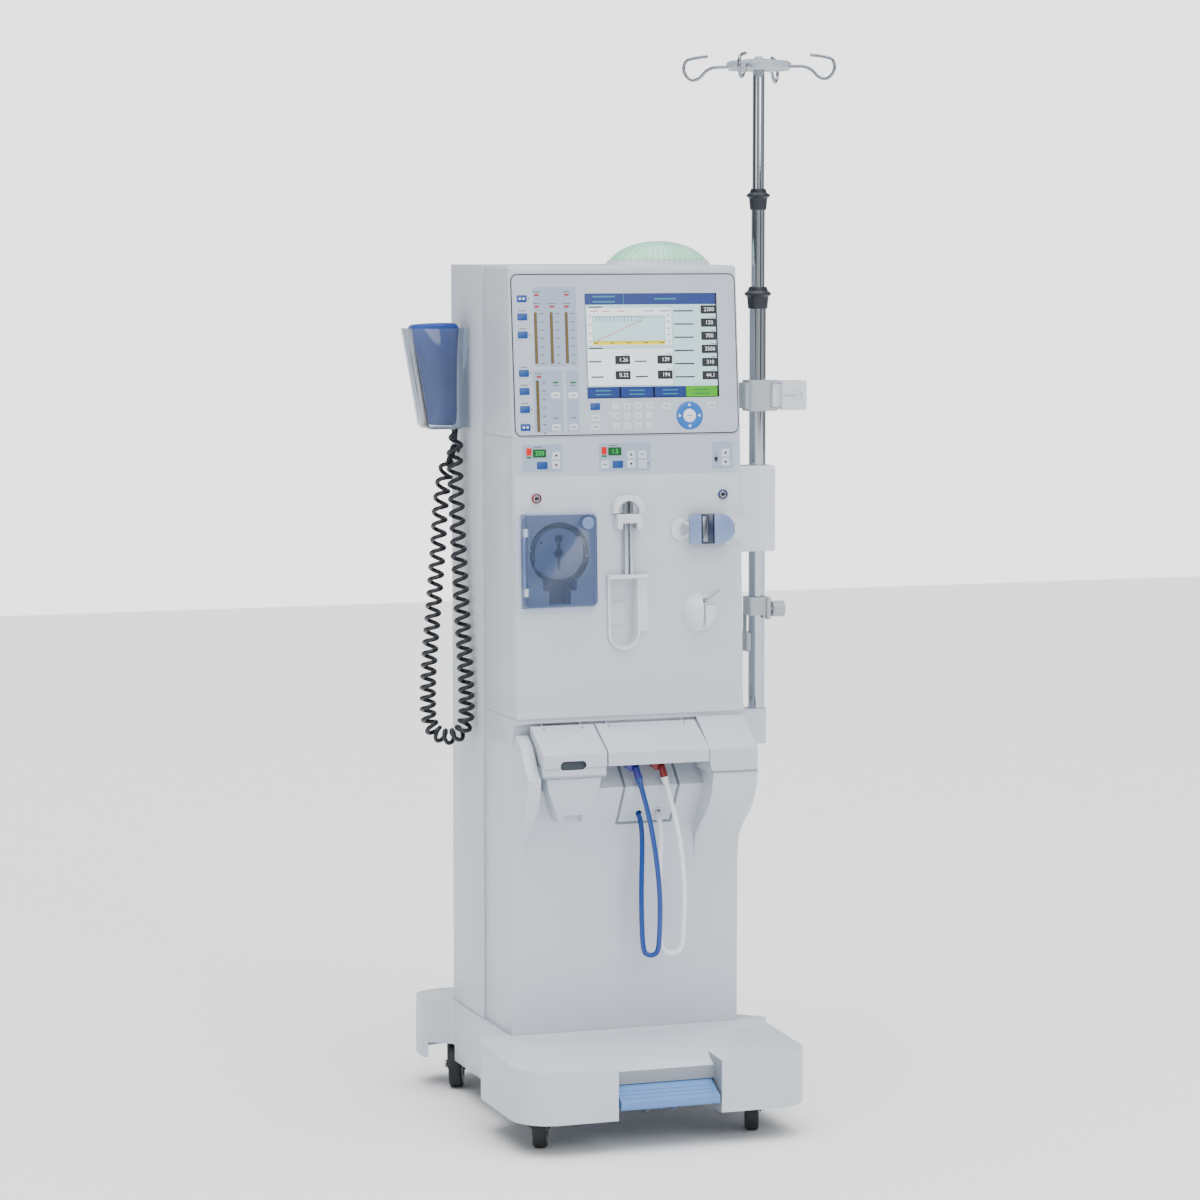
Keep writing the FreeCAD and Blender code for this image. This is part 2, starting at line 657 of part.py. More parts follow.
def monitor_housing():
    def volume(inset):
        over = 1.0 if inset else 0.0
        low = MONITOR_BOTTOM + SEAT_GAP - over
        high = HEAD_TOP - inset
        front_low = leaning_y(MONITOR_Y, MONITOR_BOTTOM, MONITOR_LEAN, low) + inset
        front_high = leaning_y(MONITOR_Y, MONITOR_BOTTOM, MONITOR_LEAN, high) + inset
        half = COLUMN_HALF - inset
        return prism_x([(SPLIT_Y + over, low), (front_low, low), (front_high, high),
                        (SPLIT_Y + over, high)], -half, half)
    lean = V(0, math.sin(math.radians(MONITOR_LEAN)), math.cos(math.radians(MONITOR_LEAN)))
    outer = volume(0)
    rims = edges_along(outer, lean, lambda p: p.y < 0)
    rims += edges_along(outer, X_AXIS, lambda p: p.z > HEAD_TOP - 1 and p.y < 0)
    rims += edges_along(outer, Y_AXIS, lambda p: p.z > HEAD_TOP - 1)
    outer = outer.makeFillet(EDGE_ROUND, rims)
    shell = outer.cut(volume(WALL))
    recess = slab(-PANEL_HALF - SEAT_GAP, PANEL_HALF + SEAT_GAP, MONITOR_Y - 1, MONITOR_Y + PANEL_INSET,
                  MONITOR_BOTTOM + 2 - SEAT_GAP, MONITOR_BOTTOM + 2 + CONSOLE_HEIGHT + SEAT_GAP, PANEL_CORNER)
    shell = shell.cut(on_monitor(recess))
    window = box(SCREEN_X - SCREEN_WIDTH / 2 + 4, SCREEN_X + SCREEN_WIDTH / 2 - 4, MONITOR_Y - 2, MONITOR_Y + 8,
                 SCREEN_Z - SCREEN_HEIGHT / 2 + 4, SCREEN_Z + SCREEN_HEIGHT / 2 - 4)
    shell = shell.cut(on_monitor(window))
    plinth = cone(PLINTH_HALF, LAMP_HALF + 2, V(0, 0, HEAD_TOP - 1), V(0, 0, LAMP_BASE - SEAT_GAP))
    plinth = squeezed(plinth, 1, 0.62, 1)
    plinth.translate(V(LAMP_X, LAMP_Y, 0))
    over_rear = box(LAMP_X - 100, LAMP_X + 100, SPLIT_Y, SPLIT_Y + 60, HEAD_TOP - 2, HEAD_TOP + SEAT_GAP)
    return shell.fuse(plinth.cut(volume(WALL)).cut(over_rear)).removeSplitter()


def squeezed(shape, x, y, z):
    matrix = FreeCAD.Matrix()
    matrix.scale(V(x, y, z))
    return shape.transformGeometry(matrix)


def console_panel():
    y0 = MONITOR_Y + PANEL_INSET - PANEL_THICK
    y1 = MONITOR_Y + PANEL_INSET
    panel = slab(-PANEL_HALF, PANEL_HALF, y0, y1, MONITOR_BOTTOM + 2, MONITOR_BOTTOM + 2 + CONSOLE_HEIGHT,
                 PANEL_CORNER)
    window = box(SCREEN_X - SCREEN_WIDTH / 2 - SEAT_GAP, SCREEN_X + SCREEN_WIDTH / 2 + SEAT_GAP, y0 - 1, y1 + 1,
                 SCREEN_Z - SCREEN_HEIGHT / 2 - SEAT_GAP, SCREEN_Z + SCREEN_HEIGHT / 2 + SEAT_GAP)
    return on_monitor(panel.cut(window))


def display_screen():
    y1 = MONITOR_Y + PANEL_INSET
    return on_monitor(box(SCREEN_X - SCREEN_WIDTH / 2, SCREEN_X + SCREEN_WIDTH / 2, y1 - SCREEN_THICK, y1,
                          SCREEN_Z - SCREEN_HEIGHT / 2, SCREEN_Z + SCREEN_HEIGHT / 2))


def status_lamp():
    crown = 50.0
    share = math.sqrt(1 - ((LAMP_BASE - LAMP_TOP + crown) / crown) ** 2)
    dome = squeezed(Part.makeSphere(crown), LAMP_HALF / share / crown, LAMP_DEPTH_HALF / share / crown, 1)
    dome.translate(V(LAMP_X, LAMP_Y, LAMP_TOP - crown))
    return dome.common(box(LAMP_X - 150, LAMP_X + 150, LAMP_Y - 150, LAMP_Y + 150, LAMP_BASE, LAMP_TOP + 1))


# Blood pump: raceway housing, rotor with two spring-loaded rollers, crank, door and door knob

def depth(out):
    """Y of a layer in front of the module's face, before the face is leaned."""
    return MODULE_Y - out


def door_axis():
    return DOOR_LEFT + DOOR_AXIS_INSET, depth(PUMP_PROUD + DOOR_GAP + DOOR_THICK / 2)


def raceway(grow, y0, y1):
    ring = rod(RACEWAY_R + grow, V(PUMP_X, y0, PUMP_Z), V(PUMP_X, y1, PUMP_Z))
    neck = box(PUMP_X - 17.5, PUMP_X + 17.5, y0, y1, DOOR_BOTTOM + 4, PUMP_Z)
    shoulder = box(PUMP_X - 27, PUMP_X + 27, y0, y1, PUMP_Z - RACEWAY_R - 9, PUMP_Z - 20)
    return fuse(ring, neck, shoulder)


def pump_housing():
    floor = depth(PUMP_PROUD) + RACEWAY_DEPTH
    bezel = slab(PUMP_LEFT, PUMP_RIGHT, depth(PUMP_PROUD), MODULE_Y, PUMP_BOTTOM, PUMP_TOP, DOOR_CORNER + 5)
    back = box(DOOR_LEFT + 3, DOOR_RIGHT - 3, MODULE_Y, floor + PUMP_WALL, DOOR_BOTTOM + 3, DOOR_TOP - 3)
    body = bezel.fuse(back).cut(raceway(0, depth(PUMP_PROUD) - 1, floor))
    axis_x, axis_y = door_axis()
    groove_floor = depth(PUMP_PROUD - 5)
    body = body.cut(box(DOOR_LEFT - 2, axis_x + 4, depth(PUMP_PROUD) - 1, groove_floor,
                        DOOR_BOTTOM - 1, DOOR_TOP + 1))
    for z in DOOR_HINGE_ZS:
        half = DOOR_LUG_HEIGHT / 2
        lug = box(axis_x - 2.8, axis_x + 2.8, axis_y - 2.8, groove_floor + 1, z - half, z + half)
        bore = rod(DOOR_PIN_R + RUNNING_GAP, V(axis_x, axis_y, z - half - 1), V(axis_x, axis_y, z + half + 1))
        body = body.fuse(lug).cut(bore)
    shaft = rod(ROTOR_SHAFT_R + RUNNING_GAP, V(PUMP_X, floor - 1, PUMP_Z), V(PUMP_X, floor + 20, PUMP_Z))
    return on_module(body.cut(shaft).removeSplitter())


def rotor_levels():
    """Y of the rotor's back face, of the roller gap's two ends and of its front face."""
    back = depth(PUMP_PROUD) + RACEWAY_DEPTH - 1
    front = back - ROTOR_DEPTH
    return back, back - ROTOR_PLATE, front + ROTOR_PLATE, front


def roller_places():
    places = []
    for turn in (0, 180):
        a = math.radians(ROLLER_ANGLE + turn)
        places.append((PUMP_X + ROLLER_CENTRE_R * math.cos(a), PUMP_Z + ROLLER_CENTRE_R * math.sin(a)))
    return places


def crank_outline(grow, y0, y1):
    bar = box(PUMP_X - 2 - grow, PUMP_X + 2 + grow, y0, y1, PUMP_Z - 25 - grow, PUMP_Z + 22)
    hub = rod(5.5 + grow, V(PUMP_X, y0, PUMP_Z), V(PUMP_X, y1, PUMP_Z))
    tip = rod(5 + grow, V(PUMP_X, y0, PUMP_Z + 23), V(PUMP_X, y1, PUMP_Z + 23))
    return fuse(bar, hub, tip)


def pump_rotor():
    back, gap_back, gap_front, front = rotor_levels()
    rear_plate = rod(ROTOR_R, V(PUMP_X, back, PUMP_Z), V(PUMP_X, gap_back, PUMP_Z))
    front_plate = rod(ROTOR_R, V(PUMP_X, gap_front, PUMP_Z), V(PUMP_X, front, PUMP_Z))
    hub = rod(ROTOR_R - 16, V(PUMP_X, back, PUMP_Z), V(PUMP_X, front, PUMP_Z))
    shaft = rod(ROTOR_SHAFT_R, V(PUMP_X, back, PUMP_Z), V(PUMP_X, back + PUMP_WALL + 8, PUMP_Z))
    rotor = fuse(rear_plate, front_plate, hub, shaft)
    for x, z in roller_places():
        for a, b in ((back, gap_back), (gap_front, front)):
            rotor = rotor.fuse(rod(ROLLER_R + 1.5, V(x, a, z), V(x, b, z)))
        rotor = rotor.fuse(rod(ROLLER_PIN_R, V(x, back, z), V(x, front, z)))
    for turn in (ROLLER_ANGLE + 90, ROLLER_ANGLE + 270):
        a = math.radians(turn)
        x = PUMP_X + (ROTOR_R - 6) * math.cos(a)
        z = PUMP_Z + (ROTOR_R - 6) * math.sin(a)
        rotor = rotor.fuse(rod(3, V(x, back, z), V(x, front, z)))
    rotor = rotor.cut(crank_outline(SEAT_GAP, front - 1, front + 6))
    return on_module(rotor.removeSplitter())


def pump_roller(x, z):
    back, gap_back, gap_front, front = rotor_levels()
    return on_module(tube(ROLLER_R, ROLLER_PIN_R + RUNNING_GAP, V(x, gap_back - SEAT_GAP, z),
                          V(x, gap_front + SEAT_GAP, z)))


def rotor_crank():
    front = rotor_levels()[3]
    return on_module(crank_outline(0, front, front + 6 - SEAT_GAP))


def pump_door():
    axis_x, axis_y = door_axis()
    back = depth(PUMP_PROUD + DOOR_GAP)
    front = back - DOOR_THICK
    door = slab(DOOR_LEFT, DOOR_RIGHT, front, back, DOOR_BOTTOM, DOOR_TOP, DOOR_CORNER)
    rim = slab(DOOR_LEFT, DOOR_RIGHT, front - DOOR_RIM, front, DOOR_BOTTOM, DOOR_TOP, DOOR_CORNER)
    rim = rim.cut(slab(DOOR_LEFT + 3.5, DOOR_RIGHT - 3.5, front - DOOR_RIM - 1, front + 1,
                       DOOR_BOTTOM + 3.5, DOOR_TOP - 3.5, DOOR_CORNER - 3.5))
    door = door.fuse(rim)
    for z in DOOR_HINGE_ZS:
        half = DOOR_LUG_HEIGHT / 2 + 0.5
        door = door.cut(box(DOOR_LEFT - 1, axis_x + 6, front - 3, back + 1, z - half, z + half))
        door = door.fuse(rod(DOOR_PIN_R, V(axis_x, axis_y, z - half - 1), V(axis_x, axis_y, z + half + 1)))
    door = door.cut(rod(KNOB_SHAFT_R + RUNNING_GAP, V(KNOB_X, front - 5, KNOB_Z), V(KNOB_X, back + 1, KNOB_Z)))
    return on_module(door.removeSplitter())


def door_knob():
    back = depth(PUMP_PROUD + DOOR_GAP)
    face = back - DOOR_THICK - SEAT_GAP
    head = rod(KNOB_R, V(KNOB_X, face, KNOB_Z), V(KNOB_X, face - KNOB_HEIGHT, KNOB_Z))
    shaft = rod(KNOB_SHAFT_R, V(KNOB_X, face, KNOB_Z), V(KNOB_X, back, KNOB_Z))
    rim = [e for e in head.Edges if isinstance(e.Curve, Part.Circle) and e.CenterOfMass.y < face - 1]
    return on_module(head.makeFillet(1.5, rim).fuse(shaft))


def pressure_ports():
    ports = []
    for x in PORT_XS:
        collar = tube(PORT_R, PORT_R - 2, V(x, depth(0), PORT_Z), V(x, depth(4), PORT_Z))
        seat = rod(PORT_R - 2, V(x, depth(0), PORT_Z), V(x, depth(1.5), PORT_Z))
        nipple = tube(LUER_R, 1.2, V(x, depth(1.5), PORT_Z), V(x, depth(1.5 + LUER_LENGTH), PORT_Z))
        ports.append(on_module(fuse(collar, seat, nipple)))
    return Part.makeCompound(ports)


# Heparin pump

def heparin_guide():
    """Arched head with the two guide rods hanging from it."""
    head = box(HEPARIN_X - HEAD_HALF, HEPARIN_X + HEAD_HALF, depth(13), depth(0), HEAD_BOTTOM, HEAD_ARCH_TOP)
    head = rounded(head, 20, Y_AXIS, lambda p: p.z > HEAD_BOTTOM + 1)
    head = rounded(head, 4, Y_AXIS, lambda p: p.z < HEAD_BOTTOM + 1)
    hollow = rod(17, V(HEPARIN_X, depth(14), HEAD_BOTTOM + 2), V(HEPARIN_X, depth(5), HEAD_BOTTOM + 2))
    head = head.cut(hollow)
    rods = [rod(ROD_R, V(HEPARIN_X + s * ROD_PITCH / 2, depth(ROD_OUT), CRADLE_TOP + 1),
                V(HEPARIN_X + s * ROD_PITCH / 2, depth(ROD_OUT), HEAD_BOTTOM + 24)) for s in (-1, 1)]
    for bar in rods:
        head = head.cut(rod(ROD_R, V(bar.CenterOfMass.x, depth(ROD_OUT), HEAD_BOTTOM - 1),
                            V(bar.CenterOfMass.x, depth(ROD_OUT), HEAD_BOTTOM + 24)))
    return on_module(Part.makeCompound([head] + rods))


def heparin_slider():
    block = box(HEPARIN_X - SLIDER_HALF, HEPARIN_X + SLIDER_HALF, depth(SLIDER_OUT), depth(0.8),
                SLIDER_BOTTOM, SLIDER_TOP)
    block = rounded(block, 3, Y_AXIS)
    block = block.cut(box(HEPARIN_X - 12, HEPARIN_X + 12, depth(SLIDER_OUT + 1), depth(0),
                          SLIDER_BOTTOM - 1, SLIDER_BOTTOM + 9))
    for s in (-1, 1):
        x = HEPARIN_X + s * ROD_PITCH / 2
        block = block.cut(rod(ROD_R + RUNNING_GAP, V(x, depth(ROD_OUT), SLIDER_BOTTOM - 1),
                              V(x, depth(ROD_OUT), SLIDER_TOP + 1)))
    return on_module(block)


def cradle_outline(grow, y0, y1, lift=0.0):
    """Tub outline: straight sides over a round foot."""
    half = CRADLE_HALF + grow
    foot_z = CRADLE_BOTTOM + CRADLE_HALF
    upper = box(CRADLE_X - half, CRADLE_X + half, y0, y1, foot_z, CRADLE_TOP + grow - lift)
    return fuse(upper, rod(half, V(CRADLE_X, y0, foot_z), V(CRADLE_X, y1, foot_z)))


def heparin_cradle():
    wall = 4.0
    back = depth(CRADLE_PROUD) + CRADLE_DEPTH
    body = cradle_outline(0, depth(CRADLE_PROUD), back + wall)
    tub = cradle_outline(-wall, depth(CRADLE_PROUD) - 1, back)
    body = body.cut(tub)
    pad = rounded(box(CRADLE_X - 16, CRADLE_X + 8, back - 3, back, 780, 815), 3, Y_AXIS)
    wing = box(CRADLE_X, CRADLE_X + CRADLE_HALF + 13, depth(2.5), depth(SEAT_GAP), 770, CRADLE_TOP)
    wing = rounded(wing, 4, Y_AXIS).cut(cradle_outline(-1, depth(4), depth(0)))
    shelf = box(CRADLE_X - CRADLE_HALF - 1, CRADLE_X + CRADLE_HALF + 14, depth(13), depth(SEAT_GAP),
                CRADLE_TOP - 5, CRADLE_TOP + 1)
    shelf = rounded(shelf, 4, Z_AXIS, lambda p: p.y < depth(10))
    return on_module(fuse(body, pad, wing, shelf))


# Air detector with its hinged cover, and the venous line clamp

def air_detector_body():
    z0 = DETECTOR_Z
    half = DETECTOR_HALF
    plate_half = 17.0
    base = slab(DETECTOR_X - half, DETECTOR_X + half, depth(5), depth(0), z0 - plate_half, z0 + plate_half, 16.5)
    block = slab(DETECTOR_HINGE_X + 1, DETECTOR_COVER_RIGHT - 4, depth(DETECTOR_PROUD), depth(0),
                 z0 - DETECTOR_HEIGHT / 2, z0 + DETECTOR_HEIGHT / 2, 6)
    channel = box(DETECTOR_X - 17, DETECTOR_X + 7, depth(DETECTOR_PROUD + 1), depth(4), z0 - 30, z0 + 30)
    sensor = box(DETECTOR_X - 15, DETECTOR_X - 8, depth(DETECTOR_PROUD - 1), depth(4), z0 - 20, z0 + 20)
    latch = box(DETECTOR_COVER_RIGHT + 1, DETECTOR_COVER_RIGHT + 8, depth(17), depth(4), z0 - 8, z0 + 8)
    lugs = []
    hinge_x, hinge_y = DETECTOR_HINGE_X - 4, depth(DETECTOR_PROUD + 3)
    for s in (-1, 1):
        lugs.append(box(hinge_x - 3, hinge_x + 3, hinge_y - 3, depth(4), z0 + s * 9 - 2, z0 + s * 9 + 2))
    pin = rod(1.5, V(hinge_x, hinge_y, z0 - 10), V(hinge_x, hinge_y, z0 + 10))
    return on_module(fuse(base, block.cut(channel), sensor, latch, lugs[0], lugs[1], pin))


def detector_cover():
    z0 = DETECTOR_Z
    back = depth(DETECTOR_PROUD + SEAT_GAP)
    front = back - DETECTOR_COVER_THICK
    left = DETECTOR_HINGE_X + 0.5
    round_r = DETECTOR_HEIGHT / 2
    plain = box(left, DETECTOR_COVER_RIGHT - round_r, front, back, z0 - round_r, z0 + round_r)
    nose = rod(round_r, V(DETECTOR_COVER_RIGHT - round_r, front, z0), V(DETECTOR_COVER_RIGHT - round_r, back, z0))
    cover = fuse(plain, nose)
    cover = cover.cut(box(DETECTOR_X - 16, DETECTOR_X + 6, front - 1, front + 2, z0 - 30, z0 + 30))
    hinge_x, hinge_y = DETECTOR_HINGE_X - 4, depth(DETECTOR_PROUD + 3)
    arm = box(hinge_x, left + 2, hinge_y - 2.5, hinge_y + 2.5, z0 - 6.5, z0 + 6.5)
    barrel = rod(3, V(hinge_x, hinge_y, z0 - 6.5), V(hinge_x, hinge_y, z0 + 6.5))
    bore = rod(1.5 + RUNNING_GAP, V(hinge_x, hinge_y, z0 - 7), V(hinge_x, hinge_y, z0 + 7))
    return on_module(fuse(cover, arm, barrel).cut(bore))


def clamp_body():
    sphere_r = (CLAMP_R ** 2 + CLAMP_PROUD ** 2) / (2 * CLAMP_PROUD)
    centre = V(CLAMP_X, depth(CLAMP_PROUD - sphere_r), CLAMP_Z)
    dome = Part.makeSphere(sphere_r, centre)
    dome = dome.common(box(CLAMP_X - 50, CLAMP_X + 50, depth(40), depth(0), CLAMP_Z - 50, CLAMP_Z + 50))
    slot = box(CLAMP_X, CLAMP_X + CLAMP_SLOT, depth(40), depth(7), CLAMP_Z - 50, CLAMP_Z + 50)
    upper_right = box(CLAMP_X, CLAMP_X + 50, depth(40), depth(1.5), CLAMP_Z + 10, CLAMP_Z + 50)
    low_right = box(CLAMP_X, CLAMP_X + 50, depth(40), depth(15), CLAMP_Z - 50, CLAMP_Z + 50)
    post = rod(3, V(*lever_pivot(0)), V(*lever_pivot(12)))
    pin = rod(1.5, V(*lever_pivot(12)), V(*lever_pivot(18)))
    return on_module(fuse(dome.cut(slot).cut(upper_right).cut(low_right), post, pin))


def lever_pivot(out):
    return CLAMP_X + 5, depth(out), CLAMP_Z + 18


def clamp_lever():
    hub = tube(3.4, 1.5 + RUNNING_GAP, V(*lever_pivot(12.3)), V(*lever_pivot(17)))
    x, y, z = lever_pivot(14.6)
    arm = rod(1.9, V(x + 2.6, y, z + 1.8), V(x + 24, y, z + 16))
    return on_module(fuse(hub, arm))


# Couplings bay covers and couplings

def cover_section(front, top_rear, thick):
    """(y, z) section of a cover's sloped top and its front lip."""
    outer = [(MODULE_Y + 1, top_rear), (front + 4, COVER_BREAK + 1.5), (front, COVER_BREAK - 2),
             (front, COVER_LIP_BOTTOM)]
    inner = [(front + thick, COVER_LIP_BOTTOM), (front + thick, COVER_BREAK - 3.5),
             (front + thick + 3, COVER_BREAK - thick), (MODULE_Y + 1, top_rear - thick)]
    return outer + inner


def hinged_cover(x0, x1, top_rear):
    """A cover open underneath, with side returns, turning on pins at its rear edge."""
    skin = prism_x(cover_section(COVER_FRONT, top_rear, COVER_WALL), x0, x1)
    side = [(MODULE_Y + 1, top_rear), (COVER_FRONT + 4, COVER_BREAK + 1.5), (COVER_FRONT, COVER_BREAK - 2),
            (COVER_FRONT, COVER_LIP_BOTTOM), (COVER_FRONT + 12, COVER_LIP_BOTTOM), (MODULE_Y + 1, top_rear - 14)]
    returns = [prism_x(side, x0, x0 + COVER_WALL), prism_x(side, x1 - COVER_WALL, x1)]
    cover = fuse(skin, returns[0], returns[1])
    hinge_y, hinge_z = cover_hinge(top_rear)
    for lug_x, barrel_x in hinge_places(x0, x1):
        gap = box(lug_x - 0.3, lug_x + LUG_WIDTH + 0.3, hinge_y - 7.5, MODULE_Y + 3, hinge_z - 20, hinge_z + 10)
        barrel = rod(3.2, V(barrel_x, hinge_y, hinge_z), V(barrel_x + 14, hinge_y, hinge_z))
        bore = rod(COVER_PIN_R + RUNNING_GAP, V(barrel_x - 1, hinge_y, hinge_z), V(barrel_x + 15, hinge_y, hinge_z))
        cover = cover.cut(gap).fuse(barrel).cut(bore)
    return cover.removeSplitter()


def hinge_places(x0, x1):
    """X of each hinge lug on the moulding and of the cover's barrel beside it."""
    return [(x0 + 18.3, x0 + 4), (x1 - 18.3 - LUG_WIDTH, x1 - 18)]


def hinge_lugs(x0, x1):
    """Lugs under the moulding's brow, each with a pin into the cover's barrel."""
    hinge_y, hinge_z = cover_hinge(COVER_REAR_TOP)
    section = [(hinge_y - 2.5, hinge_z - 2.5), (hinge_y - 2.5, hinge_z + 1.5), (hinge_y + 3, hinge_z + 3),
               (hinge_y + 7, hinge_z + 6.5), (hinge_y + 15, hinge_z + 6.5), (hinge_y + 15, hinge_z + 1),
               (hinge_y + 5, hinge_z - 2.5)]
    lugs = []
    for lug_x, barrel_x in hinge_places(x0, x1):
        lugs.append(prism_x(section, lug_x, lug_x + LUG_WIDTH))
        lugs.append(rod(COVER_PIN_R, V(min(lug_x, barrel_x + 2), hinge_y, hinge_z),
                        V(max(lug_x + LUG_WIDTH, barrel_x + 12), hinge_y, hinge_z)))
    return lugs


def cover_hinge(top_rear):
    return MODULE_Y - 1, top_rear - 4.0


def grip_slot():
    """Oval finger slot across the seam between the left cover and the tray under it."""
    return rounded(box(BAY_LEFT + 29, BAY_LEFT + 71, COVER_FRONT - 2, COVER_FRONT + 7,
                       COVER_LIP_BOTTOM - 4, COVER_LIP_BOTTOM + 10), 6.9, Y_AXIS)


def left_flap():
    return hinged_cover(BAY_LEFT + 2, COVER_SPLIT_LEFT - COVER_SEAM / 2, COVER_REAR_TOP).cut(grip_slot())


def centre_flap():
    return hinged_cover(COVER_SPLIT_LEFT + COVER_SEAM / 2, COVER_SPLIT_RIGHT - COVER_SEAM / 2, COVER_REAR_TOP)


def right_cover():
    """Fixed cover of the right side, deeper in front than the flaps."""
    section = [(MODULE_Y + 2, MID_TOP - 4), (-185, COVER_BREAK - 1), (-189, COVER_BREAK - 5),
               (-189, FIXED_COVER_BOTTOM), (MODULE_Y + 2, FIXED_COVER_BOTTOM)]
    x0 = COVER_SPLIT_RIGHT + COVER_SEAM / 2
    block = prism_x(section, x0, COLUMN_HALF)
    block = rounded(block, 5, X_AXIS, lambda p: p.y < -184 and p.z > FIXED_COVER_BOTTOM + 1)
    inside = [(MODULE_Y + 3, MID_TOP - 8), (-185 + 3, COVER_BREAK - 4), (-189 + 3, COVER_BREAK - 7),
              (-189 + 3, FIXED_COVER_BOTTOM - 1), (MODULE_Y + 3, FIXED_COVER_BOTTOM - 1)]
    return block.cut(prism_x(inside, x0 + 3, COLUMN_HALF - 3))


def cartridge_holder():
    """Tray under the left flap with the funnel that leads down from it."""
    x0 = BAY_LEFT + 2
    x1 = COVER_SPLIT_LEFT - COVER_SEAM / 2
    rear = RIDGE_Y + 2
    tray = box(x0, x1, COVER_FRONT + 3, BAY_BACK_Y - 2, HOLDER_SEAM, COVER_LIP_BOTTOM - SEAT_GAP)
    tray = rounded(tray, 6, X_AXIS, lambda p: p.y < COVER_FRONT + 5 and p.z < HOLDER_SEAM + 1)
    tray = tray.cut(box(x0 + 3, x1 - 3, COVER_FRONT + 6, BAY_BACK_Y - 5, HOLDER_SEAM + 3, COVER_LIP_BOTTOM + 1))

    def level(z, left, right, front, back):
        return Part.makePolygon([V(left, front, z), V(right, front, z), V(right, back, z), V(left, back, z),
                                 V(left, front, z)])
    funnel = Part.makeLoft([level(HOLDER_SEAM, x0 + 8, x1 - 6, COVER_FRONT + 8, rear),
                            level(HOLDER_SEAM - 22, x0 + 14, x1 - 6, COVER_FRONT + 20, rear),
                            level(SPOUT_BOTTOM + 22, x0 + 30, x1 - 16, RIDGE_Y - 16, RIDGE_Y + 14),
                            level(SPOUT_BOTTOM, x0 + 41, x1 - 24, RIDGE_Y - 2, RIDGE_Y + 28)], True, True)
    chute = box(BAY_LEFT + 48, BAY_LEFT + 78, RIDGE_Y - 10, RIDGE_Y + 8, SPOUT_BOTTOM - 1, SPOUT_BOTTOM + 30)
    return tray.fuse(funnel).cut(front_volume(0)).cut(chute).cut(grip_slot()).removeSplitter()


def coupling(x, route):
    """Dialyser coupling parked on the bay's back wall; its tail points along the tube's first run."""
    back = BAY_BACK_Y - SEAT_GAP
    stub = rod(9, V(x, back, COUPLING_Z), V(x, back - 14, COUPLING_Z))
    start = V(x, back - 12, COUPLING_Z)
    body = rod(10, start, start + V(0, -27, -11))
    ring = rod(12, start + V(0, -9, -3.7), start + V(0, -18, -7.3))
    along = route[1] - route[0]
    along.normalize()
    tail = rod(TUBE_D / 2 + 1.5, route[0] - along * 18, route[0])
    return fuse(stub, body, ring, tail)


def coupling_tail(x):
    return V(x + 9, BAY_BACK_Y - 41, COUPLING_Z - 30)


def blue_route():
    """From the blue coupling's tail down in a long loop and up into the panel."""
    return [coupling_tail(BLUE_COUPLING_X), V(12, -155, 515), V(22, -159, 470), V(30, -163, 415), V(34, -166, 362),
            V(33.5, -167, 318), V(31.5, -166.5, 278), V(25, -163.3, 270.7), V(16, -158.7, 270.7), V(9.5, -155.5, 278),
            V(9, -150, 340), V(11, -145, 390), V(14, -140, 432), V(BLUE_X, -132, 466), V(BLUE_X, -118, HOLE_Z - 1),
            V(BLUE_X, COLUMN_FRONT - 1.5, HOLE_Z)]


def white_route():
    """From the red coupling's tail down in a long loop and up into the panel."""
    return [coupling_tail(RED_COUPLING_X), V(54, -156, 513), V(64, -161, 470), V(71, -164, 418), V(74, -167, 366),
            V(72, -168, 322), V(70, -168, 282), V(60.6, -164.5, 272), V(47.4, -159.5, 272), V(38, -156, 282),
            V(37, -154, 342), V(39, -150, 392), V(43, -143, 434), V(WHITE_X, -133, 467),
            V(WHITE_X, -118, HOLE_Z - 1), V(WHITE_X, COLUMN_FRONT - 1.5, HOLE_Z)]


# Infusion pole: three telescoping tubes, collars, hook head, holder, bracket and small clamp

def at_pole(z, dx=0.0, dy=0.0):
    return V(POLE_X + dx, POLE_Y + dy, z)


def collar(span, seat_r, bore_r, wide):
    """Grip collar: a tapered sleeve with a flared ring, stepped inside to two tube sizes."""
    low, high = span
    height = high - low
    step = low + 0.68 * height
    profile = [(seat_r, low), (seat_r + 2.2, low), (seat_r + 4, low + 0.55 * height),
               (wide, low + 0.64 * height), (wide, low + 0.72 * height), (seat_r + 3, low + 0.82 * height),
               (seat_r + 1, high), (bore_r, high), (bore_r, step), (seat_r, step)]
    return turned(profile, at_pole(0)), step


def pole_lower_tube():
    sleeve, step = collar(LOWER_COLLAR, LOWER_TUBE_R, MIDDLE_TUBE_R + RUNNING_GAP, 21)
    pipe = tube(LOWER_TUBE_R, LOWER_TUBE_R - TUBE_WALL, at_pole(SOCKET_BOTTOM + 6), at_pole(step))
    return Part.makeCompound([pipe, sleeve])


def pole_middle_tube():
    sleeve, step = collar(UPPER_COLLAR, MIDDLE_TUBE_R, TOP_TUBE_R + RUNNING_GAP, 18.5)
    pipe = tube(MIDDLE_TUBE_R, TOP_TUBE_R + RUNNING_GAP, at_pole(MIDDLE_TUBE_BOTTOM), at_pole(step))
    return Part.makeCompound([pipe, sleeve])


def pole_top_tube():
    return tube(TOP_TUBE_R, TOP_TUBE_R - TUBE_WALL, at_pole(TOP_TUBE_BOTTOM), at_pole(HUB_Z - HUB_HALF))


def hook_profile():
    """(r, z) points of one hook: out along the arm, down, round its tip and back over the arm."""
    z = HUB_Z - 3
    return [(HUB_R - 8, z), (72, z), (84, z - 5), (95, z - 17), (107, z - 21), (118, z - 13),
            (HOOK_REACH - HOOK_WIRE_R, z), (117, z + 11), (100, z + 15), (82, z + 17)]


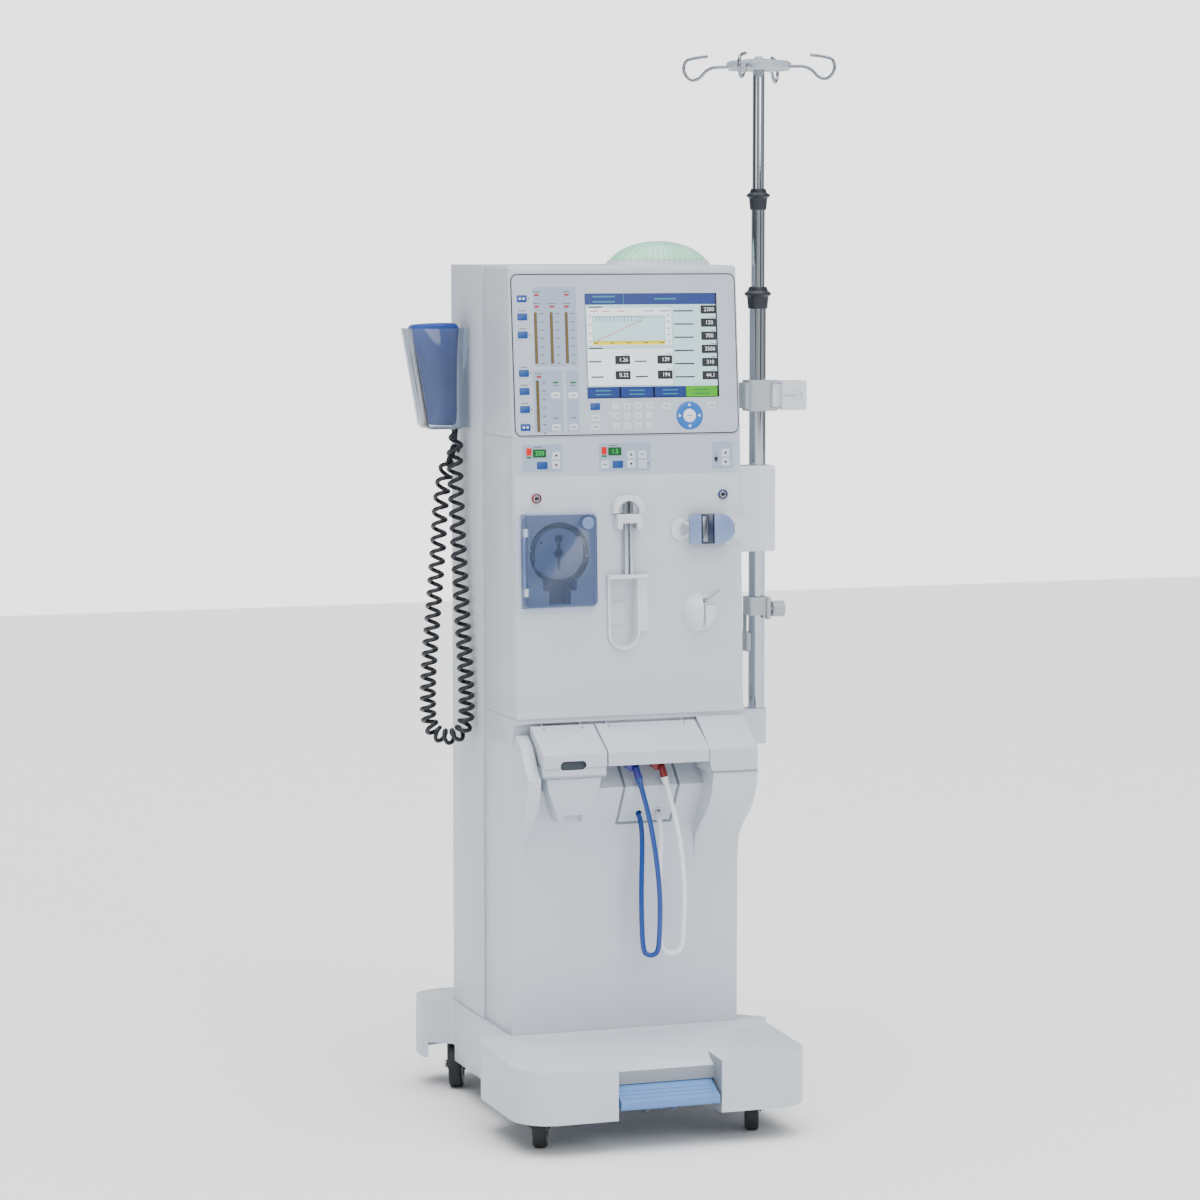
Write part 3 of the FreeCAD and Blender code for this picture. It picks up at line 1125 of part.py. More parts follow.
def hook_head():
    hub = turned([(0, HUB_Z - HUB_HALF), (HUB_R - 4, HUB_Z - HUB_HALF), (HUB_R, HUB_Z - HUB_HALF + 4),
                  (HUB_R, HUB_Z + 3), (HUB_R - 6, HUB_Z + 6), (12, HUB_Z + HUB_HALF), (0, HUB_Z + HUB_HALF)],
                 at_pole(0))
    nut = turned([(0, HUB_Z + HUB_HALF), (7, HUB_Z + HUB_HALF), (5, HUB_Z + HUB_HALF + 4),
                  (0, HUB_Z + HUB_HALF + 4)], at_pole(0))
    hub = hub.fuse(nut)
    hooks = []
    for quarter in range(4):
        a = math.radians(-90 - HOOK_TURN + 90 * quarter)
        route = [V(POLE_X + r * math.cos(a), POLE_Y + r * math.sin(a), z) for r, z in hook_profile()]
        hook = bent_rod(route, HOOK_WIRE_R)[0]
        hub = hub.cut(rod(HOOK_WIRE_R, route[0], route[1]))
        hooks.append(hook)
    return Part.makeCompound([hub.removeSplitter()] + hooks)


def pole_bore(low, high, grow):
    return rod(LOWER_TUBE_R + grow, at_pole(low - 1), at_pole(high + 1))


def pole_bracket():
    low, high = BRACKET
    block = box(COLUMN_HALF + SEAT_GAP, BRACKET_RIGHT, POLE_Y - 24, POLE_Y + 20, low, high)
    block = rounded(block, 6, Z_AXIS, lambda p: p.x > 200)
    block = rounded(block, 4, Y_AXIS, lambda p: p.x > 200)
    pocket = box(COLUMN_HALF + 6, BRACKET_RIGHT - 5, POLE_Y - 1, POLE_Y + 21, low + 5, high - 5)
    return block.cut(pocket).cut(pole_bore(low, high, RUNNING_GAP))


def holder_body():
    """Clamp on the pole that carries the dialyser arm: a rear jaw and a front shell."""
    low, high = HOLDER
    shell = box(POLE_X - 21, POLE_X + 16, POLE_Y - 20, POLE_Y + 17, low - 1, high + 1)
    shell = rounded(shell, 7, Z_AXIS)
    jaw = rounded(box(POLE_X - 27, POLE_X - 14, POLE_Y - 16, POLE_Y + 14, low + 3, high - 3), 4, Z_AXIS)
    ears = [box(POLE_X + 10, POLE_X + 29, POLE_Y - 14, POLE_Y - 2, z, z + 5) for z in (low - 1, high - 4)]
    body = fuse(shell, jaw, ears[0], ears[1])
    body = body.cut(pole_bore(low, high, RUNNING_GAP))
    pin_x, pin_y = POLE_X + 24, POLE_Y - 8
    return body.fuse(rod(2, V(pin_x, pin_y, low - 1), V(pin_x, pin_y, high + 1)))


def holder_arm():
    low, high = HOLDER
    pin_x, pin_y = POLE_X + 24, POLE_Y - 8
    barrel = rod(5, V(pin_x, pin_y, low + 4.5), V(pin_x, pin_y, high - 4.5))
    link = box(pin_x, pin_x + 14, pin_y - 4, pin_y + 4, low + 6, high - 6)
    block = rounded(box(pin_x + 10, POLE_X + 75, pin_y - 12, pin_y + 12, low, high), 4, Y_AXIS)
    dent = rod(9, V(POLE_X + 59, pin_y - 13, (low + high) / 2), V(POLE_X + 59, pin_y - 9, (low + high) / 2))
    bore = rod(2 + RUNNING_GAP, V(pin_x, pin_y, low), V(pin_x, pin_y, high))
    return fuse(barrel, link, block).cut(dent).cut(bore)


def small_clamp():
    low, high = SMALL_CLAMP
    block = rounded(box(POLE_X - 18, POLE_X + 17, POLE_Y - 18, POLE_Y + 16, low, high), 4, Z_AXIS)
    tongue = box(POLE_X + 9, POLE_X + 14.5, POLE_Y - 24, POLE_Y - 12, low - 6, high)
    clip = rounded(box(POLE_X - 18, POLE_X - 10, POLE_Y - 6, POLE_Y + 22, low - 58, low - 28), 3, X_AXIS)
    spine = box(POLE_X - 17, POLE_X - 12, POLE_Y + 12, POLE_Y + 16, low - 58, low + 2)
    clamp = fuse(block, tongue, clip, spine).cut(pole_bore(low - 60, high, RUNNING_GAP))
    return clamp.cut(rod(3 + RUNNING_GAP, *knob_axis(12, 22)))


def knob_axis(start, end):
    z = (SMALL_CLAMP[0] + SMALL_CLAMP[1]) / 2 - 4
    return V(POLE_X + start, POLE_Y - 18.5, z), V(POLE_X + end, POLE_Y - 18.5, z)


def clamp_knob():
    grip = rod(12.5, *knob_axis(18, 37))
    for step in range(8):
        a = math.radians(45 * step)
        start, end = knob_axis(17, 38)
        shift = V(0, 14 * math.cos(a), 14 * math.sin(a))
        grip = grip.cut(rod(3, start + shift, end + shift))
    return grip.fuse(rod(3, *knob_axis(13, 18.5)))


# Left side: clear basket, cuff and the curly hose

def basket_outline(inset, bottom, top):
    wall_x = -REAR_HALF - SEAT_GAP
    slope = (BASKET_LEFT_TOP - BASKET_LEFT_BOTTOM) / (BASKET_TOP - BASKET_BOTTOM)

    def left(z):
        return BASKET_LEFT_BOTTOM + slope * (z - BASKET_BOTTOM) + inset
    return [(wall_x - inset, bottom), (left(bottom), bottom), (left(top), top), (wall_x - inset, top)]


def cuff_basket():
    outer = prism_y(basket_outline(0, BASKET_BOTTOM, BASKET_TOP), BASKET_FRONT, BASKET_REAR)
    outer = rounded(outer, 9, Y_AXIS, lambda p: p.x < -200 and p.z < BASKET_BOTTOM + 5)
    inner = prism_y(basket_outline(BASKET_WALL, BASKET_BOTTOM + BASKET_WALL, BASKET_TOP + 1),
                    BASKET_FRONT + BASKET_WALL, BASKET_REAR - BASKET_WALL)
    outlet = rod(9, V(HOSE_TOP.x, HOSE_TOP.y, BASKET_BOTTOM - 1),
                 V(HOSE_TOP.x, HOSE_TOP.y, BASKET_BOTTOM + BASKET_WALL + 1))
    return outer.cut(inner).cut(outlet)


def pressure_cuff():
    """Folded cuff standing in the basket."""
    slope = (BASKET_LEFT_TOP - BASKET_LEFT_BOTTOM) / (BASKET_TOP - BASKET_BOTTOM)

    def left(z):
        return BASKET_LEFT_BOTTOM + slope * (z - BASKET_BOTTOM) + BASKET_WALL + 2
    outline = [(-REAR_HALF - 11, CUFF_BOTTOM), (left(CUFF_BOTTOM) + 4, CUFF_BOTTOM), (left(CUFF_TOP) + 2, CUFF_TOP),
               (-REAR_HALF - 7, CUFF_TOP)]
    pad = prism_y(outline, BASKET_REAR - BASKET_WALL - 30, BASKET_REAR - BASKET_WALL - 4)
    return rounded(pad, 8, Y_AXIS)


HOSE_TOP = V(-REAR_HALF - 18, 118, 1068)
HOSE_END_AXIS = V(0.41, 0.22, 0.884)


def hose_elbow():
    x, y, z = HOSE_PORT
    return V(x - 8, y, z)


def hose_plug_end():
    return hose_elbow() - HOSE_END_AXIS * 15


def hose_connector():
    """Cuff socket in the side of the machine, with its angled hose plug."""
    x, y, z = HOSE_PORT
    flange = rod(9, V(x - SEAT_GAP, y, z), V(x - 3.5, y, z))
    neck = rod(4.5, V(x + 6, y, z), hose_elbow())
    elbow = Part.makeSphere(5.5, hose_elbow())
    plug = rod(5.5, hose_elbow(), hose_plug_end())
    return fuse(flange, neck, elbow, plug)


def hose_route():
    top = V(HOSE_TOP.x, HOSE_TOP.y, BASKET_BOTTOM - SEAT_GAP)
    end = hose_plug_end()
    return [top, V(-207, 118, 1042), V(-208, 114, 1004), V(-207, 109, 950), V(-206.5, 103, 892), V(-205.5, 96, 834),
            V(-205, 88, 776), V(-204.5, 78, 720), V(-204.5, 69, 668), V(-205, 66, 609), V(-220, 78.3, 590),
            V(-241, 95.7, 590), V(-256, 108, 609), V(-256, 108, 674), V(-251, 111, 730),
            V(-244, 115, 790), V(-238, 119, 850), V(-232, 125, 900), V(-228, 132, 940), V(-221.5, 139, 976),
            end - HOSE_END_AXIS * 25, end]


# Inner pieces

def inner_back():
    """Inside face of the rear cover, where the inner pieces are screwed on."""
    return COLUMN_REAR - WALL - SEAT_GAP


def hydraulic_block():
    """Balancing chambers, water heater and degassing pump on one carrier plate."""
    back = inner_back()
    carrier = box(-160, 160, back - 4, back, 290, 600)
    chamber = box(-130, -20, back - 90, back - 4, 460, 570)
    heater = rod(35, V(80, back - 60, 320), V(80, back - 60, 540))
    foot = box(50, 110, back - 70, back - 4, 330, 530)
    pump = rod(28, V(-70, back - 90, 360), V(-70, back - 4, 360))
    return fuse(carrier, chamber, heater, pump, foot)


def electronics_rack():
    """Power supply case and four control boards on one tray."""
    back = inner_back()
    tray = fuse(box(-150, 150, back - 120, back, 1090, 1094), box(-150, 150, back - 4, back, 1090, 1260))
    supply = box(-148, -60, back - 110, back - 4, 1094, 1200)
    boards = [box(-40, 140, back - 110 + 26 * i, back - 108 + 26 * i, 1094, 1250) for i in range(4)]
    return fuse(tray, supply, *boards)


def pump_motor():
    back = depth(PUMP_PROUD) + RACEWAY_DEPTH + PUMP_WALL + SEAT_GAP
    motor = rod(26, V(PUMP_X, back, PUMP_Z), V(PUMP_X, back + 60, PUMP_Z))
    socket = rod(ROTOR_SHAFT_R + RUNNING_GAP, V(PUMP_X, back - 1, PUMP_Z), V(PUMP_X, back + 14, PUMP_Z))
    return on_module(motor.cut(socket))


CORDS = ("blue_tube", "white_tube", "cuff_hose")


def nodes():
    pieces = {
        "base_cover": base_cover(),
        "base_frame": base_frame(),
        "brake_pedal": brake_pedal(),
        "lower_front_cover": lower_front_cover(),
        "rear_cover": rear_cover(),
        "module_housing": module_housing(),
        "module_panel": module_panel(),
        "monitor_housing": monitor_housing(),
        "console_panel": console_panel(),
        "display_screen": display_screen(),
        "status_lamp": status_lamp(),
        "hydraulic_block": hydraulic_block(),
        "electronics_rack": electronics_rack(),
        "pump_motor": pump_motor(),
        "pump_housing": pump_housing(),
        "pump_rotor": pump_rotor(),
        "rotor_crank": rotor_crank(),
        "pump_door": pump_door(),
        "door_knob": door_knob(),
        "pressure_ports": pressure_ports(),
        "heparin_guide": heparin_guide(),
        "heparin_slider": heparin_slider(),
        "heparin_cradle": heparin_cradle(),
        "air_detector_body": air_detector_body(),
        "detector_cover": detector_cover(),
        "clamp_body": clamp_body(),
        "clamp_lever": clamp_lever(),
        "left_flap": left_flap(),
        "centre_flap": centre_flap(),
        "right_cover": right_cover(),
        "cartridge_holder": cartridge_holder(),
        "connector_panel": connector_panel(),
        "panel_gasket": panel_gasket(),
        "blue_coupling": coupling(BLUE_COUPLING_X, blue_route()),
        "red_coupling": coupling(RED_COUPLING_X, white_route()),
        "blue_tube": cord("blue tube", blue_route(), TUBE_D),
        "white_tube": cord("white tube", white_route(), TUBE_D),
        "pole_lower_tube": pole_lower_tube(),
        "pole_middle_tube": pole_middle_tube(),
        "pole_top_tube": pole_top_tube(),
        "hook_head": hook_head(),
        "pole_bracket": pole_bracket(),
        "holder_body": holder_body(),
        "holder_arm": holder_arm(),
        "small_clamp": small_clamp(),
        "clamp_knob": clamp_knob(),
        "cuff_basket": cuff_basket(),
        "pressure_cuff": pressure_cuff(),
        "hose_connector": hose_connector(),
        "cuff_hose": cord("cuff hose", hose_route(), HOSE_D),
    }
    for index, (x, z) in enumerate(roller_places()):
        pieces["pump_roller_%d" % (index + 1)] = pump_roller(x, z)
    for name, (x, y) in zip(("front_left", "front_right", "rear_left", "rear_right"), swivel_places()):
        pieces[name + "_fork"] = caster_fork(x, y)
        pieces[name + "_wheel"] = caster_wheel(x, y)
    return pieces


def footprint_centre(pieces):
    """Middle of the machine's footprint, measured over every piece but the cords."""
    spans = [shape.optimalBoundingBox(False) for name, shape in pieces.items() if name not in CORDS]
    left = min(span.XMin for span in spans)
    right = max(span.XMax for span in spans)
    front = min(span.YMin for span in spans)
    rear = max(span.YMax for span in spans)
    return V((left + right) / 2, (front + rear) / 2, 0)


def main():
    os.makedirs("parts", exist_ok=True)
    pieces = nodes()
    centre = footprint_centre(pieces)
    print("footprint centre", round(centre.x, 3), round(centre.y, 3))
    for name, shape in pieces.items():
        placed = shape.copy()
        placed.translate(-centre)
        placed.exportStep("parts/" + name + ".step")


main()
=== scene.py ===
"""Dialysis machine on casters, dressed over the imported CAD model.

Places are given in the drawing's millimetres, measured from the middle of the base on the floor,
with the front towards -Y. Pieces on the two leaning faces are drawn upright and leaned back last.
"""
import bpy
import json
import math
from functools import partial
from mathutils import Matrix, Vector

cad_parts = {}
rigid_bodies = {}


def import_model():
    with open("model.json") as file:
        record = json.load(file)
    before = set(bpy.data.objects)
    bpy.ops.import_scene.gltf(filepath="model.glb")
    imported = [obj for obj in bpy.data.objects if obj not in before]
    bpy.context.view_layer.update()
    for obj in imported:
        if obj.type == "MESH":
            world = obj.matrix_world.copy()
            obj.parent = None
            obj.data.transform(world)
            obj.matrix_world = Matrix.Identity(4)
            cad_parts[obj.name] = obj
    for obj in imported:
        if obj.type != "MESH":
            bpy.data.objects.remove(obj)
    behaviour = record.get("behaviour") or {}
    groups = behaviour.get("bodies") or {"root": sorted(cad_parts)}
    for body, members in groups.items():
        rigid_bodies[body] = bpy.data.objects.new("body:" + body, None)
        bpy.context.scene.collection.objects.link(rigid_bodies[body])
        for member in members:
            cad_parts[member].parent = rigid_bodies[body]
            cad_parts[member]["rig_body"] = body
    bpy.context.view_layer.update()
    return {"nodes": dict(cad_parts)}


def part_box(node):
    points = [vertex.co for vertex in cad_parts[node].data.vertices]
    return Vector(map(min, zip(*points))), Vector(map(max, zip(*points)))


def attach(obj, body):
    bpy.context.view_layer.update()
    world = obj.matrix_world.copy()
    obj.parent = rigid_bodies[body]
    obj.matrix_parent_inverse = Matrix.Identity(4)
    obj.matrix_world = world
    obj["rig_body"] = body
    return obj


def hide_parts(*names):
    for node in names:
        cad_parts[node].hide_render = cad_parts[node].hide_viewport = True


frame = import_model()

base_low, base_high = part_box("base_cover")
SHIFT = Vector(((base_low[0] + base_high[0]) / 2, (base_low[1] + base_high[1]) / 2, 0))

# Leaning faces: y and z of the foot, and the lean in degrees
MODULE = (-130.0, 640.0, 2.3)
MONITOR = (-113.0, 1070.0, 5.3)
# An upright face through the drawing's Y = 0, for pieces that don't lean
UPRIGHT = (0.0, 0.0, 0.0)

# Camera, fitted to the photograph
LENS_MM = 112.07
CAMERA_PLACE = (-1924.0, -5500.8, 1372.2)
CAMERA_DIP = 5.54
CAMERA_TURN = 19.22

# Blood pump and its door
PUMP_X = -116
PUMP_Z = 893
RACE_RADIUS = 49.5
NECK_FOOT = 846
DOOR_LEFT = -176
DOOR_RIGHT = -57.5
DOOR_FOOT = 811.5
DOOR_TOP = 952.5
DOOR_RIM_WIDTH = 3.7
PIN_X = -171.5
PIN_OUT = 10.5
LUG_ZS = (926, 835)

# Pressure ports, the rods of the syringe pump, and the pole
PORT_XS = (-149.6, 153.8)
PORT_Z = 977.5
ROD_XS = (-8.3, 0.3)
ROD_OUT = 8
POLE_X = 232
POLE_Y = -64


def at(x, y, z):
    """A place in the drawing's millimetres as a point of the row's frame in metres."""
    return Vector((x, y, z)) / 1000 + SHIFT


def lean_matrix(face):
    """The turn that leans an upright piece back about the foot of its face."""
    foot = at(0, face[0], face[1])
    turn = Matrix.Rotation(-math.radians(face[2]), 4, "X")
    return Matrix.Translation(foot) @ turn @ Matrix.Translation(-foot)


def on_face(face, x, out, z):
    """A point a distance in front of a leaning face."""
    return lean_matrix(face) @ at(x, face[0] - out, z)


def linked(name, data):
    """A new object, linked to the scene."""
    made = bpy.data.objects.new(name, data)
    bpy.context.scene.collection.objects.link(made)
    return made


# Camera

def make_camera():
    """The photograph's viewpoint: from the front left, a little above."""
    lens = bpy.data.cameras.new("camera")
    lens.sensor_width = 36
    lens.lens = LENS_MM
    lens.clip_end = 50
    camera = linked("camera", lens)
    camera.location = at(*CAMERA_PLACE)
    camera.rotation_euler = (math.radians(90 - CAMERA_DIP), 0, math.radians(-CAMERA_TURN))
    bpy.context.scene.camera = camera


make_camera()


# Materials

def srgb(code):
    """Linear colour from an sRGB hex value."""
    parts = [int(code[i:i + 2], 16) / 255 for i in (0, 2, 4)]
    return tuple(c / 12.92 if c <= 0.04045 else ((c + 0.055) / 1.055) ** 2.4 for c in parts) + (1,)


def add(tree, kind, inputs=None, **settings):
    """Add one node with its settings; an input is a value, or a socket to link from."""
    made = tree.nodes.new(kind)
    for name, value in settings.items():
        setattr(made, name, value)
    for name, value in (inputs or {}).items():
        if isinstance(value, bpy.types.NodeSocket):
            tree.links.new(value, made.inputs[name])
        else:
            made.inputs[name].default_value = value
    return made


def blank_material(name):
    """An empty material: itself, its node tree and the object's coordinates."""
    made = bpy.data.materials.new(name)
    made.use_nodes = True
    tree = made.node_tree
    tree.nodes.clear()
    return made, tree, add(tree, "ShaderNodeTexCoord").outputs["Object"]


def shown(made, shader):
    """Link a shader to its material's output."""
    add(made.node_tree, "ShaderNodeOutputMaterial", {"Surface": shader.outputs[0]})
    return made


def clouds(tree, place, size_mm, **inputs):
    """Noise with patches of a size."""
    made = add(tree, "ShaderNodeTexNoise", {"Vector": place, "Scale": 1000 / size_mm, **inputs})
    return made.outputs["Fac"]


def two_tone(tree, factor, first, second):
    """A colour that goes from one sRGB hex value to another."""
    mix = add(tree, "ShaderNodeMix", {"Factor": factor}, data_type="RGBA")
    mix.inputs[6].default_value = srgb(first)
    mix.inputs[7].default_value = srgb(second)
    return mix.outputs[2]


def relief(tree, height, strength, depth_mm):
    """A fine relief in the shading."""
    inputs = {"Height": height, "Strength": strength, "Distance": depth_mm / 1000}
    return add(tree, "ShaderNodeBump", inputs).outputs["Normal"]


def surface(name, light, dark, rough, grain_mm, bump_mm, patch_mm=60, **shader):
    """A finish with cloudy colour between two shades and a grain in its roughness and relief."""
    made, tree, place = blank_material(name)
    cloud = clouds(tree, place, patch_mm, Detail=3.0, Roughness=0.5)
    colour = two_tone(tree, cloud, light, dark)
    grain = clouds(tree, place, grain_mm, Detail=2.0, Roughness=0.6)
    worn = add(tree, "ShaderNodeMapRange", {"Value": grain, "To Min": rough[0], "To Max": rough[1]})
    body = add(tree, "ShaderNodeBsdfPrincipled", {
        "Base Color": colour, "Roughness": worn.outputs["Result"],
        "Normal": relief(tree, grain, 0.5, bump_mm), **shader})
    return shown(made, body)


# Painted structural foam: cool white with the faint orange peel of a sprayed coat
HOUSING = surface("painted foam housing", "C8CED7", "C1C8D2", (0.34, 0.42), 2.5, 0.02)
# Textured ABS of the covers: spark-eroded grain, drawn coarse enough to show
COVER = surface("textured ABS", "C3CAD4", "BBC3CE", (0.40, 0.50), 1.6, 0.04)
# Glass-filled PBT of the small mouldings: smooth and a little glossy
MOULDING = surface("moulded PBT", "D6DBE2", "CED4DC", (0.28, 0.36), 2.0, 0.02)
# Grey polyamide of clamps and hinges: dry sheen
GREY_PART = surface("grey polyamide", "A8B0B6", "9FA6AD", (0.42, 0.52), 1.4, 0.03)
# Polyester membrane of the key panels: even satin
FOIL = surface("polyester foil", "B6C0CE", "B0BAC9", (0.36, 0.44), 1.2, 0.01)
# Painted shade on the walls of the notch round the pedal: the housing plastic there is given a grey as dark
# as its shade
NOTCH_PAINTED_SHADE = surface("painted shade on notch walls", "9299A0", "899098", (0.45, 0.55), 2.0, 0.03)
# Bluer fields printed on the foil: they set the groups of keys apart
FOIL_FIELD = surface("printed field on foil", "9CAAC0", "96A4BB", (0.36, 0.44), 1.2, 0.01)
# Rubber seal pressed round the panels: matt dark line
SEAL = surface("panel seal", "14181D", "101419", (0.6, 0.7), 1.5, 0.02)
# Key caps printed on the foil: flat colours with a soft shine
KEY_BLUE = surface("blue printed key", "024490", "023C80", (0.30, 0.38), 1.2, 0.01)
KEY_RING = surface("light blue printed key", "0A66BC", "085CAC", (0.30, 0.38), 1.2, 0.01)
KEY_WHITE = surface("white printed key", "E2E6EC", "DADFE6", (0.32, 0.40), 1.2, 0.01)
KEY_LIGHT = surface("pale printed key", "D0D6E0", "C8CFDA", (0.34, 0.42), 1.2, 0.01)
# Printing inks: dull against the foil
PRINT = surface("grey print", "505761", "484E59", (0.45, 0.55), 1.2, 0.01)
PRINT_DARK = surface("black print", "12151B", "0D1015", (0.40, 0.50), 1.2, 0.01)
# Brown windows of the bar displays, glossier than the foil round them
BAR_OLIVE = surface("brown bar window", "6A520E", "5C470A", (0.25, 0.32), 1.0, 0.02)
# Epoxy coated steel of the base and racks
FRAME_STEEL = surface("epoxy coated steel", "767D86", "6A7079", (0.40, 0.55), 1.2, 0.05)
# Soft PVC tubes: wet looking skin
TUBE_BLUE = surface("blue PVC tube", "0C4292", "083882", (0.20, 0.30), 3.0, 0.02, IOR=1.53)
TUBE_WHITE = surface("white silicone tube", "E9ECF1", "E0E4EA", (0.24, 0.34), 3.0, 0.02, IOR=1.43)
# Polyurethane of the coiled hose and its sleeves: black with a sleek highlight on each turn
HOSE_BLACK = surface("black polyurethane hose", "171B22", "0F1217", (0.28, 0.40), 3.0, 0.02, IOR=1.50)
# Acetal couplings: waxy
COUPLING_BLUE = surface("blue acetal", "242786", "1E2174", (0.25, 0.34), 2.0, 0.02)
COUPLING_RED = surface("red acetal", "7E0812", "6C060E", (0.25, 0.34), 2.0, 0.02)
# Colour rings of the two pressure ports
RING_RED = surface("red port ring", "921420", "801019", (0.28, 0.36), 1.5, 0.02)
RING_BLUE = surface("blue port ring", "1A3080", "152870", (0.28, 0.36), 1.5, 0.02)
# Nylon of the pedal, its comb and the pole's collars: dull, with a moulded grain
PEDAL_BLUE = surface("blue nylon", "5F8BC6", "5580BA", (0.36, 0.46), 1.5, 0.04)
PEDAL_DARK = surface("slate nylon", "4C6484", "435A78", (0.42, 0.52), 1.5, 0.04)
COLLAR = surface("navy nylon", "141B28", "101621", (0.36, 0.48), 1.5, 0.03)
# Painted shade: a dark plate set in the finger grip stands in for the shade inside its opening, and reads as
# a dark oval
GRIP_PAINTED_SHADE = surface("painted shade in finger grip", "2E3A44", "28323B", (0.38, 0.48), 1.5, 0.03)
# EPDM gasket and tyres: matt, dusty black or grey
GASKET = surface("grey EPDM gasket", "7B878C", "727E84", (0.6, 0.75), 1.5, 0.04)
TYRE = surface("black tyre rubber", "1B1D20", "26282B", (0.65, 0.8), 1.2, 0.06)
# Black nylon of the caster forks: a little smoother than the tyres
FORK = surface("black fork nylon", "2A2D31", "222528", (0.42, 0.54), 1.5, 0.04)
# Pump pieces seen through the door: pale rotor against the raceway, whose dark is painted shade for the deep
# shade between rotor and housing
PUMP_INNER = surface("pump moulding", "B4BFD3", "AAB6CC", (0.34, 0.44), 1.5, 0.02)
RACEWAY_PAINTED_SHADE = surface("painted shade in raceway", "2F3950", "283148", (0.30, 0.40), 1.5, 0.02)
ROTOR = surface("rotor moulding", "A0ACC2", "96A3BA", (0.34, 0.44), 1.5, 0.02)
CRANK = surface("crank moulding", "303B4F", "2A3446", (0.34, 0.44), 1.5, 0.02)
# Polycarbonate seen edge-on, and the knob in it: deeper blue than the clear sheet
DOOR_RIM = surface("polycarbonate rim", "5F75A6", "566B9A", (0.12, 0.2), 2.0, 0.01, IOR=1.58)
KNOB_BLUE = surface("blue grey knob", "7289B0", "687FA7", (0.28, 0.38), 2.0, 0.02)
# Air detector: blue grey cover, navy slot
DETECTOR_BLUE = surface("blue grey polycarbonate", "7C90BA", "7286B0", (0.16, 0.24), 2.0, 0.01, IOR=1.58)
NAVY = surface("navy polycarbonate", "152548", "101E3E", (0.22, 0.30), 2.0, 0.01, IOR=1.58)
# Polished chrome plate over steel tube, and plain drawn steel wire
CHROME = surface("chrome plate", "B2B8BF", "A8AEB6", (0.06, 0.11), 6.0, 0.004, Metallic=1.0)
# Nickel of the port nipples, zinc of the wheel discs
PORT_METAL = surface("nickel plated brass", "5B6068", "50555D", (0.2, 0.3), 1.0, 0.01, Metallic=1.0)
HUB_GREY = surface("zinc plated hub disc", "9AA3A9", "868F96", (0.26, 0.4), 2.0, 0.03, Metallic=0.6)
# Drawn steel of hooks, rollers and lever: greyer and softer than chrome
STEEL_WIRE = surface("drawn steel", "8F969E", "858C95", (0.16, 0.26), 0.8, 0.01, Metallic=1.0)
# Glass over the display: near black where nothing is lit
SCREEN_DARK = surface("display glass", "14181F", "10141A", (0.08, 0.12), 4.0, 0.002)


def lit(name, colour, strength, rough=0.25):
    """A window lit from behind: its own colour with a little light of its own."""
    shade = "".join("%02X" % int(int(colour[i:i + 2], 16) * 0.96) for i in (0, 2, 4))
    made = surface(name, colour, shade, (rough, rough + 0.06), 1.0, 0.004)
    body = made.node_tree.nodes["Principled BSDF"]
    body.inputs["Emission Color"].default_value = srgb(colour)
    body.inputs["Emission Strength"].default_value = strength
    return made


# Display picture, LED windows and numerals: each glows a little in its own colour
LIT_GROUND = lit("lit pale blue", "B4D6DE", 0.3)
LIT_WHITE = lit("lit white", "E4EEF1", 0.3)
LIT_BLUE = lit("lit blue", "022A74", 0.15)
LIT_GREEN = lit("lit green cell", "3E9E0C", 0.25)
LIT_YELLOW = lit("lit yellow", "DCC80C", 0.4)
LIT_RED_LINE = lit("lit red line", "C22A30", 0.35)
LIT_TEAL = lit("lit teal line", "1F7C88", 0.3)
LED_RED = lit("red LED window", "9E0C1E", 0.25)
LED_GREEN = lit("green LED window", "0B6B3A", 0.12)
DISPLAY_RED = lit("red numeral window", "C8120A", 0.3)
DISPLAY_GREEN = lit("green numeral window", "085224", 0.15)
NUMERAL_GREEN = lit("lit green numeral", "35C060", 0.5)
DOT_YELLOW = lit("yellow LED", "C8AC08", 0.3)


def clear_plastic(name, tint, milk, share, rough, ior, edge):
    """A thin clear wall: tinted, a little milky, with a sheen that grows at grazing angles."""
    made, tree, place = blank_material(name)
    bend = relief(tree, clouds(tree, place, 30, Detail=1.0), 0.4, 0.2)
    facing = add(tree, "ShaderNodeLayerWeight", {"Blend": 0.25})
    tone = two_tone(tree, facing.outputs["Facing"], tint, edge)
    through = add(tree, "ShaderNodeBsdfTransparent", {"Color": tone})
    cloudy = add(tree, "ShaderNodeBsdfDiffuse", {"Color": srgb(milk), "Normal": bend})
    body = add(tree, "ShaderNodeMixShader", {0: share, 1: through.outputs[0], 2: cloudy.outputs[0]})
    sheen = add(tree, "ShaderNodeBsdfGlossy", {"Roughness": rough, "Normal": bend})
    fresnel = add(tree, "ShaderNodeFresnel", {"IOR": ior, "Normal": bend})
    whole = add(tree, "ShaderNodeMixShader", {0: fresnel.outputs[0], 1: body.outputs[0], 2: sheen.outputs[0]})
    return shown(made, whole)


# Tinted polycarbonate of the pump door and clear acrylic of the cuff basket
DOOR_CLEAR = clear_plastic("tinted polycarbonate", "E2E8F3", "8FA3CB", 0.10, 0.08, 1.40, "8E9DBF")
BASKET_CLEAR = clear_plastic("clear acrylic", "EAF0F7", "C9D6E8", 0.06, 0.05, 1.45, "A3B2C8")
# Frosted polycarbonate of the hooks' hub: milky, so that the wires only shimmer through
HUB_CLEAR = clear_plastic("frosted polycarbonate", "E4ECF2", "B4BEC8", 0.88, 0.25, 1.58, "A9B5C0")


# Cuff cloth
THREAD_MM = 2.4


